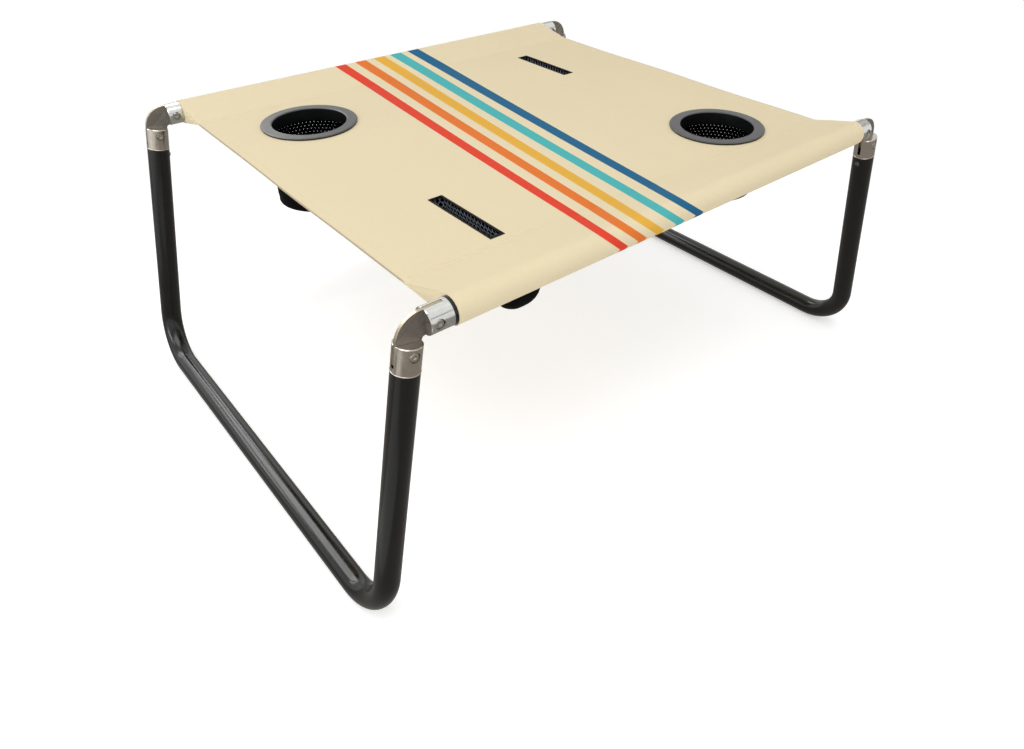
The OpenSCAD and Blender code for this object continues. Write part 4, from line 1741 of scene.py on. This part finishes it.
@dataclass
class SlotPocket(Fitting):
    """A bound slot in the cloth and the flat net pocket below it.

    Attributes:
        place: Place of the right one's middle, without the shift.
        slot: Width and length of the bound slot.
        binding: Width of the binding.
        cloth_low: Height of the cloth's lower face.
        mouth: Width and length of the pocket's mouth.
        body: Width and length of the pocket at its fullest.
        foot: Width and length of its bottom.
        bottom: Height of its bottom.
        neck: Depth to which the pocket stays as narrow as its mouth.
        shoulder: Height over which it widens below that.
        closing: Share of its depth from which it narrows to its bottom, and the share over which it does.
        corner_rs: Radius of its upright corners at the mouth and at its fullest.
        fold_depth: Height of the folds in its wall.
        shade_sheet_gap: Distance outside the net of the black sheet, a dark sheet that paints the shade seen
            through the net's eyes.
        lean: How far the left pocket's bottom hangs along the rails and across the table.
        net: Its net.
    """

    place: Flat = (162.0, 138.0)
    slot: Flat = (15.0, 92.0)
    binding: float = 2.0
    cloth_low: float = 292.5
    mouth: Flat = (15.6, 92.6)
    body: Flat = (38.4, 136.4)
    foot: Flat = (12.0, 106.0)
    bottom: float = 229.0
    neck: float = 13.0
    shoulder: float = 16.0
    closing: Flat = (0.66, 0.34)
    corner_rs: Flat = (2.5, 11.5)
    fold_depth: float = 0.4
    shade_sheet_gap: float = 0.9
    lean: Flat = (8.0, -5.0)
    net: KnittedNet = KnittedNet(eye=5.2, yarn=0.36, open_share=0.76)

    def build(self, finishes: Finishes) -> None:
        """Builds the binding, the pocket, the black sheet outside it that stands for shade, and the tape at
        its bottom.

        Args:
            finishes: The materials.
        """
        self.bind(finishes)
        self.pocket(finishes)
        self.shade_sheet(finishes)
        self.bottom_tape(finishes)

    def bind(self, finishes: Finishes) -> None:
        """Folds the tape over the slot's edge, all the way round, with mitred corners.

        Args:
            finishes: The materials.
        """
        w, l = self.slot[0] / 2, self.slot[1] / 2
        b, high, low = self.binding, self.cloth_top, self.cloth_low
        outline = rounded(
            [
                (0.0, high - 0.12, 0.1),
                (b, high - 0.12, 0.0),
                (b, low + 0.12, 0.0),
                (0.0, low + 0.12, 0.1),
                (0.0, low - 0.5, 0.3),
                (b - 0.6, low - 0.6, 0.3),
                (b + 0.05, low - 0.1, 0.5),
                (b + 0.05, high + 0.1, 0.5),
                (b - 0.6, high + 0.6, 0.3),
                (0.0, high + 0.5, 0.3),
            ],
            3,
        )
        corners = [(-w, -l), (w, -l), (w, l), (-w, l)]
        path, frames = [], []
        for i, (x, y) in enumerate(corners):
            next_x, next_y = corners[(i + 1) % 4]
            in_x, in_y = -math.copysign(1, x), -math.copysign(1, y)
            path.append((x, y, 0.0))
            frames.append(((in_x, in_y, 0.0), (0.0, 0.0, 1.0)))
            for t in np.arange(1, 12) / 12:
                path.append((x * (1 - t) + next_x * t, y * (1 - t) + next_y * t, 0.0))
                inward = (0.0, in_y, 0.0) if y == next_y else (in_x, 0.0, 0.0)
                frames.append((inward, (0.0, 0.0, 1.0)))
        shape = swept(np.array(path), np.array(outline), np.array(frames), True)
        self.add("slot_tape", shape, finishes.tape, "black_binding", "slot_binding", 50.0)

    def wall(self, turn: float, depth: float, grow: float = 0.0) -> Point:
        """Finds a point of the pocket's wall.

        Args:
            turn: Way round the pocket, from 0 to 1.
            depth: Way down, from 0 at the mouth to 1 at the bottom.
            grow: How far outside the wall the point lies.

        Returns:
            The point.
        """
        top = self.cloth_low - 0.4
        deep = (top - self.bottom) * depth
        opening = min(max((deep - self.neck) / self.shoulder, 0.0), 1.0)
        opening = opening * opening * (3 - 2 * opening)
        closing = max(0.0, (depth - self.closing[0]) / self.closing[1])
        closing = 1 - math.sqrt(max(0.0, 1 - closing * closing))
        half_w, half_l = (
            (mouth + (body - mouth) * opening + (foot - body) * closing) / 2 + grow
            for mouth, body, foot in zip(self.mouth, self.body, self.foot)
        )
        corner_r = self.corner_rs[0] + (self.corner_rs[1] - self.corner_rs[0]) * opening
        x, y = round_rectangle(turn, half_w, half_l, min(corner_r, half_w * 0.9))
        fold = self.fold_depth * math.sin(14 * math.pi * turn + self.side.value) * math.sin(math.pi * depth)
        along = self.lean_share(depth)
        return x + math.copysign(fold, x) + self.lean[0] * along, y + self.lean[1] * along, top - deep

    def lean_share(self, depth: float) -> float:
        """Gives the share of the pocket's sideways lean at a depth, turned round at the other end."""
        return -self.side.value * min(depth / 0.7, 1.0) ** 1.5

    def pocket(self, finishes: Finishes) -> None:
        """Knits the pocket: a slim pouch that narrows to a sewn bottom edge.

        Args:
            finishes: The materials.
        """
        around = round(2 * (self.mouth[0] + self.mouth[1]) / self.net.eye)
        rows = round((self.cloth_low - self.bottom) / self.net.row)
        shape = self.net.round_wall(around, rows, self.wall)
        self.add("slot_net_pocket", shape, finishes.slate, "black_mesh", "slot_pocket", 80.0)

    def shade_sheet(self, finishes: Finishes) -> None:
        """Puts a black sheet round the pocket's outside, a painted shade that keeps the net's eyes dark.

        Args:
            finishes: The materials.
        """
        around, rows = 180, 40
        turns, depths = [i / around for i in range(around)], [j / rows for j in range(rows + 1)]
        points = [self.wall(turn, depth, self.shade_sheet_gap) for depth in depths for turn in turns]
        faces: List[Sequence[int]] = []
        for j in range(rows):
            faces += ring_faces(around, (j + 1) * around, j * around)
        shape = thickened(Shape(np.array(points), faces).in_metres(), 0.4)
        self.add("pocket_shade_sheet", shape, finishes.net, "black_mesh")

    def bottom_tape(self, finishes: Finishes) -> None:
        """Sews a folded tape over the pocket's bottom edge.

        Args:
            finishes: The materials.
        """
        half_w, half_l = (size / 2 + self.shade_sheet_gap for size in self.foot)
        y = np.linspace(-half_l, half_l, 40)
        sag = 0.8 * (1 - (y / half_l) ** 2)
        x_lean, y_lean = (way * self.lean_share(1.0) for way in self.lean)
        path = np.column_stack([np.full_like(y, x_lean), y + y_lean, self.bottom + 0.4 - sag])
        corners = [(-half_w, -1.6, 1.4), (half_w, -1.6, 1.4), (half_w, 1.6, 0.6), (-half_w, 1.6, 0.6)]
        frames = np.tile(np.array([[[1.0, 0, 0], [0, 0, 1.0]]]), (len(y), 1, 1))
        squeeze = np.clip((half_l - np.abs(y)) / 5, 0, 1) ** 0.5 * 0.6 + 0.4
        frames[:, 0, :] *= squeeze[:, None]
        shape = swept(path, np.array(rounded(corners, 4)), frames, False)
        self.add("pocket_bottom_tape", shape, finishes.tape, "black_binding")


# Studio


@dataclass(frozen=True)
class Lamp:
    """A rectangular area lamp that is aimed at a point.

    Attributes:
        name: Its name.
        place: Its place, in metres.
        aim: The point that it is aimed at.
        size: Its width and height.
        power: Its power, in watts.
        reflected: Whether reflections show it.
    """

    name: str
    place: Point
    aim: Point
    size: Flat
    power: float
    reflected: bool = True

    def build(self) -> None:
        """Hangs the lamp."""
        data = bpy.data.lights.new(self.name, "AREA")
        data.shape = "RECTANGLE"
        data.size, data.size_y = self.size
        data.energy = self.power
        lamp = bpy.data.objects.new(self.name, data)
        lamp.location = self.place
        lamp.rotation_euler = (Vector(self.aim) - Vector(self.place)).to_track_quat("-Z", "Y").to_euler()
        lamp.visible_glossy = self.reflected
        bpy.context.scene.collection.objects.link(lamp)


@dataclass(frozen=True)
class Card:
    """Paper that only reflections see.

    Attributes:
        name: Its name.
        colour: sRGB hex colour.
        sheets: Four corners of each of its sheets, in metres.
        strength: How brightly it shows its colour.
    """

    name: str
    colour: str
    sheets: Sequence[Sequence[Point]]
    strength: float = 1.0

    def build(self) -> None:
        """Lays or stands the card's sheets."""
        mesh = bpy.data.meshes.new(self.name)
        corners = [corner for sheet in self.sheets for corner in sheet]
        mesh.from_pydata(corners, [], [tuple(range(i, i + 4)) for i in range(0, len(corners), 4)])
        m = new_material(f"{self.name}_paper")
        glow = add_node(m, "Emission", [linear(self.colour), self.strength])
        mesh.materials.append(close_material(m, glow))
        card = bpy.data.objects.new(self.name, mesh)
        for kind in ("camera", "diffuse", "shadow", "transmission", "volume_scatter"):
            setattr(card, f"visible_{kind}", False)
        bpy.context.scene.collection.objects.link(card)


def lying(left: float, front: float, right: float, back: float, height: float) -> List[Point]:
    """Returns the corners of a sheet that lies level, in metres."""
    return [(left, front, height), (right, front, height), (right, back, height), (left, back, height)]


@dataclass
class Studio:
    """Floor, lamps, world and camera.

    The camera's place, turn and lens come from a fit of the table's tube edges to the photograph.

    Attributes:
        camera_at: Place of the camera, in millimetres.
        yaw: Turn of its view from +Y towards +X, in degrees.
        pitch: Tilt of its view below level, in degrees.
        roll: Turn about its own axis, in degrees.
        lens: Focal length, for a sensor 36 mm wide.
        shift: The picture's shift along and up, as shares of its width.
        floor_r: Radius of the floor, in metres.
        floor_lift: Glow that brings the floor near the table up to white beside its shadow.
        fade: Distances from the middle, in metres, between which the floor turns to plain white.
        band_r: Radius of the card that stands round the table, in metres.
        band_heights: Heights of its lower and upper edge, in metres.
    """

    camera_at: Point = (-496.18, -637.18, 599.32)
    yaw: float = 40.776
    pitch: float = 35.899
    roll: float = 0.529
    lens: float = 27.0
    shift: Flat = (-0.0331, -0.0440)
    floor_r: float = 9.0
    floor_lift: float = 0.44
    fade: Flat = (0.45, 1.0)
    band_r: float = 1.6
    band_heights: Flat = (0.95, 1.15)

    def build(self) -> None:
        """Builds everything that isn't the table."""
        self.floor()
        self.world()
        for lamp in self.lamps():
            lamp.build()
        for card in self.cards():
            card.build()
        self.camera()
        bpy.context.scene.view_settings.view_transform = "Standard"

    def seen_directly(self, owner: Owner) -> bpy.types.Node:
        """Returns a node that is 1 for what the camera and reflections see, in a material or world."""
        ray = add_node(owner, "LightPath").outputs
        return add_node(owner, "Math", [ray["Is Camera Ray"], ray["Is Glossy Ray"]], operation="MAXIMUM")

    def floor(self) -> None:
        """Lays a plain pale floor, which keeps the table's shadow and is white to the camera."""
        mesh = bpy.data.meshes.new("studio_floor")
        rings, steps = 24, 96
        points = [(0.0, 0.0, 0.0)]
        for i in range(1, rings + 1):
            radius = self.floor_r * (i / rings) ** 2
            points += [(radius * c, radius * s, 0.0) for c, s in circle(steps)]
        faces: List[Sequence[int]] = [(0, 1 + j, 1 + (j + 1) % steps) for j in range(steps)]
        for start in range(1, 1 + (rings - 1) * steps, steps):
            faces += ring_faces(steps, start + steps, start)
        mesh.from_pydata(points, [], faces)
        mesh.materials.append(self.floor_paint())
        floor = bpy.data.objects.new("studio_floor", mesh)
        bpy.context.scene.collection.objects.link(floor)

    def floor_paint(self) -> bpy.types.Material:
        """Builds the floor's material: matt and pale near the table, white far from it.

        Returns:
            The material.
        """
        m = new_material("pale_studio_floor")
        direct = self.seen_directly(m)
        paint = {
            "Base Color": linear("f4f4f4"),
            "Roughness": 0.9,
            "Specular IOR Level": 0.1,
            "Emission Color": linear("ffffff"),
            "Emission Strength": add_node(m, "Math", [direct, self.floor_lift], operation="MULTIPLY"),
        }
        near = add_node(m, "BsdfPrincipled", paint)
        white = add_node(m, "Emission", [linear("ffffff"), 1.0])
        far = add_node(m, "VectorMath", [add_node(m, "TexCoord").outputs["Object"]], operation="LENGTH")
        fade = add_node(m, "MapRange", [far, *self.fade], interpolation_type="SMOOTHSTEP")
        share = add_node(m, "Math", [direct, fade], operation="MULTIPLY")
        return close_material(m, add_node(m, "MixShader", [share, near, white]))

    def world(self) -> None:
        """Sets an even pale sky, white where the camera or a reflection sees it."""
        world = bpy.data.worlds.new("studio_sky")
        world.use_nodes = True
        world.node_tree.nodes.clear()
        bpy.context.scene.world = world
        plain = add_node(world, "Background", [linear("f4f6f8"), 0.6])
        white = add_node(world, "Background", [linear("ffffff"), 1.0])
        sky = add_node(world, "MixShader", [self.seen_directly(world), plain, white])
        add_node(world, "OutputWorld", {"Surface": sky})

    def lamps(self) -> List[Lamp]:
        """Lists the lamps: a soft box over the table, a narrow one at its left and a weak fill before it.

        Returns:
            The lamps.
        """
        return [
            Lamp("overhead_box", (-0.6, -0.5, 2.2), (0, 0, 0.2), (1.6, 1.6), 20.0),
            Lamp("left_strip", (-2.2, 0.2, 1.1), (0, 0, 0.15), (0.5, 1.6), 11.5),
            Lamp("front_fill", (-0.3, -2.3, 0.45), (0, 0, 0.25), (1.6, 0.5), 7.0, reflected=False),
        ]

    def cards(self) -> List[Card]:
        """Lays out grey cards that give dark metal its bands, and a white one for the paint's gloss.

        Returns:
            The cards.
        """
        low, high = self.band_heights
        round_table = [(self.band_r * c, self.band_r * s) for c, s in circle(24)]
        band = [
            [(*here, low), (*there, low), (*there, high), (*here, high)]
            for here, there in zip(round_table, round_table[1:] + round_table[:1])
        ]
        pale = [lying(-1.3, -0.5, -0.45, -0.12, 0.002), lying(-1.6, 0.1, -0.8, 0.8, 0.002)]
        behind = [[(0.3, 1.5, 0.9), (-1.7, 1.5, 0.9), (-1.7, 1.5, 2.4), (0.3, 1.5, 2.4)]]
        return [
            Card("card_band", "8c8c8c", band),
            Card("card_on_floor", "9a9690", [lying(-1.6, -1.7, 2.4, 2.6, 0.001)]),
            Card("pale_card_on_floor", "dadada", pale),
            Card("white_card_behind", "ffffff", behind, 5.5),
        ]

    def camera(self) -> None:
        """Places the camera."""
        yaw, pitch, roll = (math.radians(angle) for angle in (self.yaw, self.pitch, self.roll))
        ahead = Vector((math.sin(yaw), math.cos(yaw), 0))
        right = Vector((math.cos(yaw), -math.sin(yaw), 0))
        look = ahead * math.cos(pitch) + Vector((0, 0, -math.sin(pitch)))
        up = ahead * math.sin(pitch) + Vector((0, 0, math.cos(pitch)))
        right, up = right * math.cos(roll) + up * math.sin(roll), up * math.cos(roll) - right * math.sin(roll)
        data = bpy.data.cameras.new("photo_view")
        data.sensor_width = 36.0
        data.sensor_fit = "HORIZONTAL"
        data.lens = self.lens
        data.shift_x, data.shift_y = self.shift
        data.clip_start = 0.01
        camera = bpy.data.objects.new("photo_view", data)
        matrix = Matrix((right, up, -look)).transposed().to_4x4()
        matrix.translation = Vector(metres(*self.camera_at))
        camera.matrix_world = matrix
        bpy.context.scene.collection.objects.link(camera)
        bpy.context.scene.camera = camera


def main() -> None:
    """Builds the table and the studio."""
    logging.basicConfig(level=logging.INFO, format="%(message)s")
    table = FoldingFrame()
    finishes = Finishes(table.lean)
    table.dress_rails(finishes)
    table.build_legs(finishes)
    table.build_corners(finishes)
    Sling().build(finishes)
    for side in Side:
        CupHolder(side).build(finishes)
        SlotPocket(side).build(finishes)
    Studio().build()

    def plain(bounds: Sequence[Sequence[float]]) -> List[List[float]]:
        """Returns bounds as plain lists."""
        return [[float(value) for value in corner] for corner in bounds]


if __name__ == "__main__":
    main()
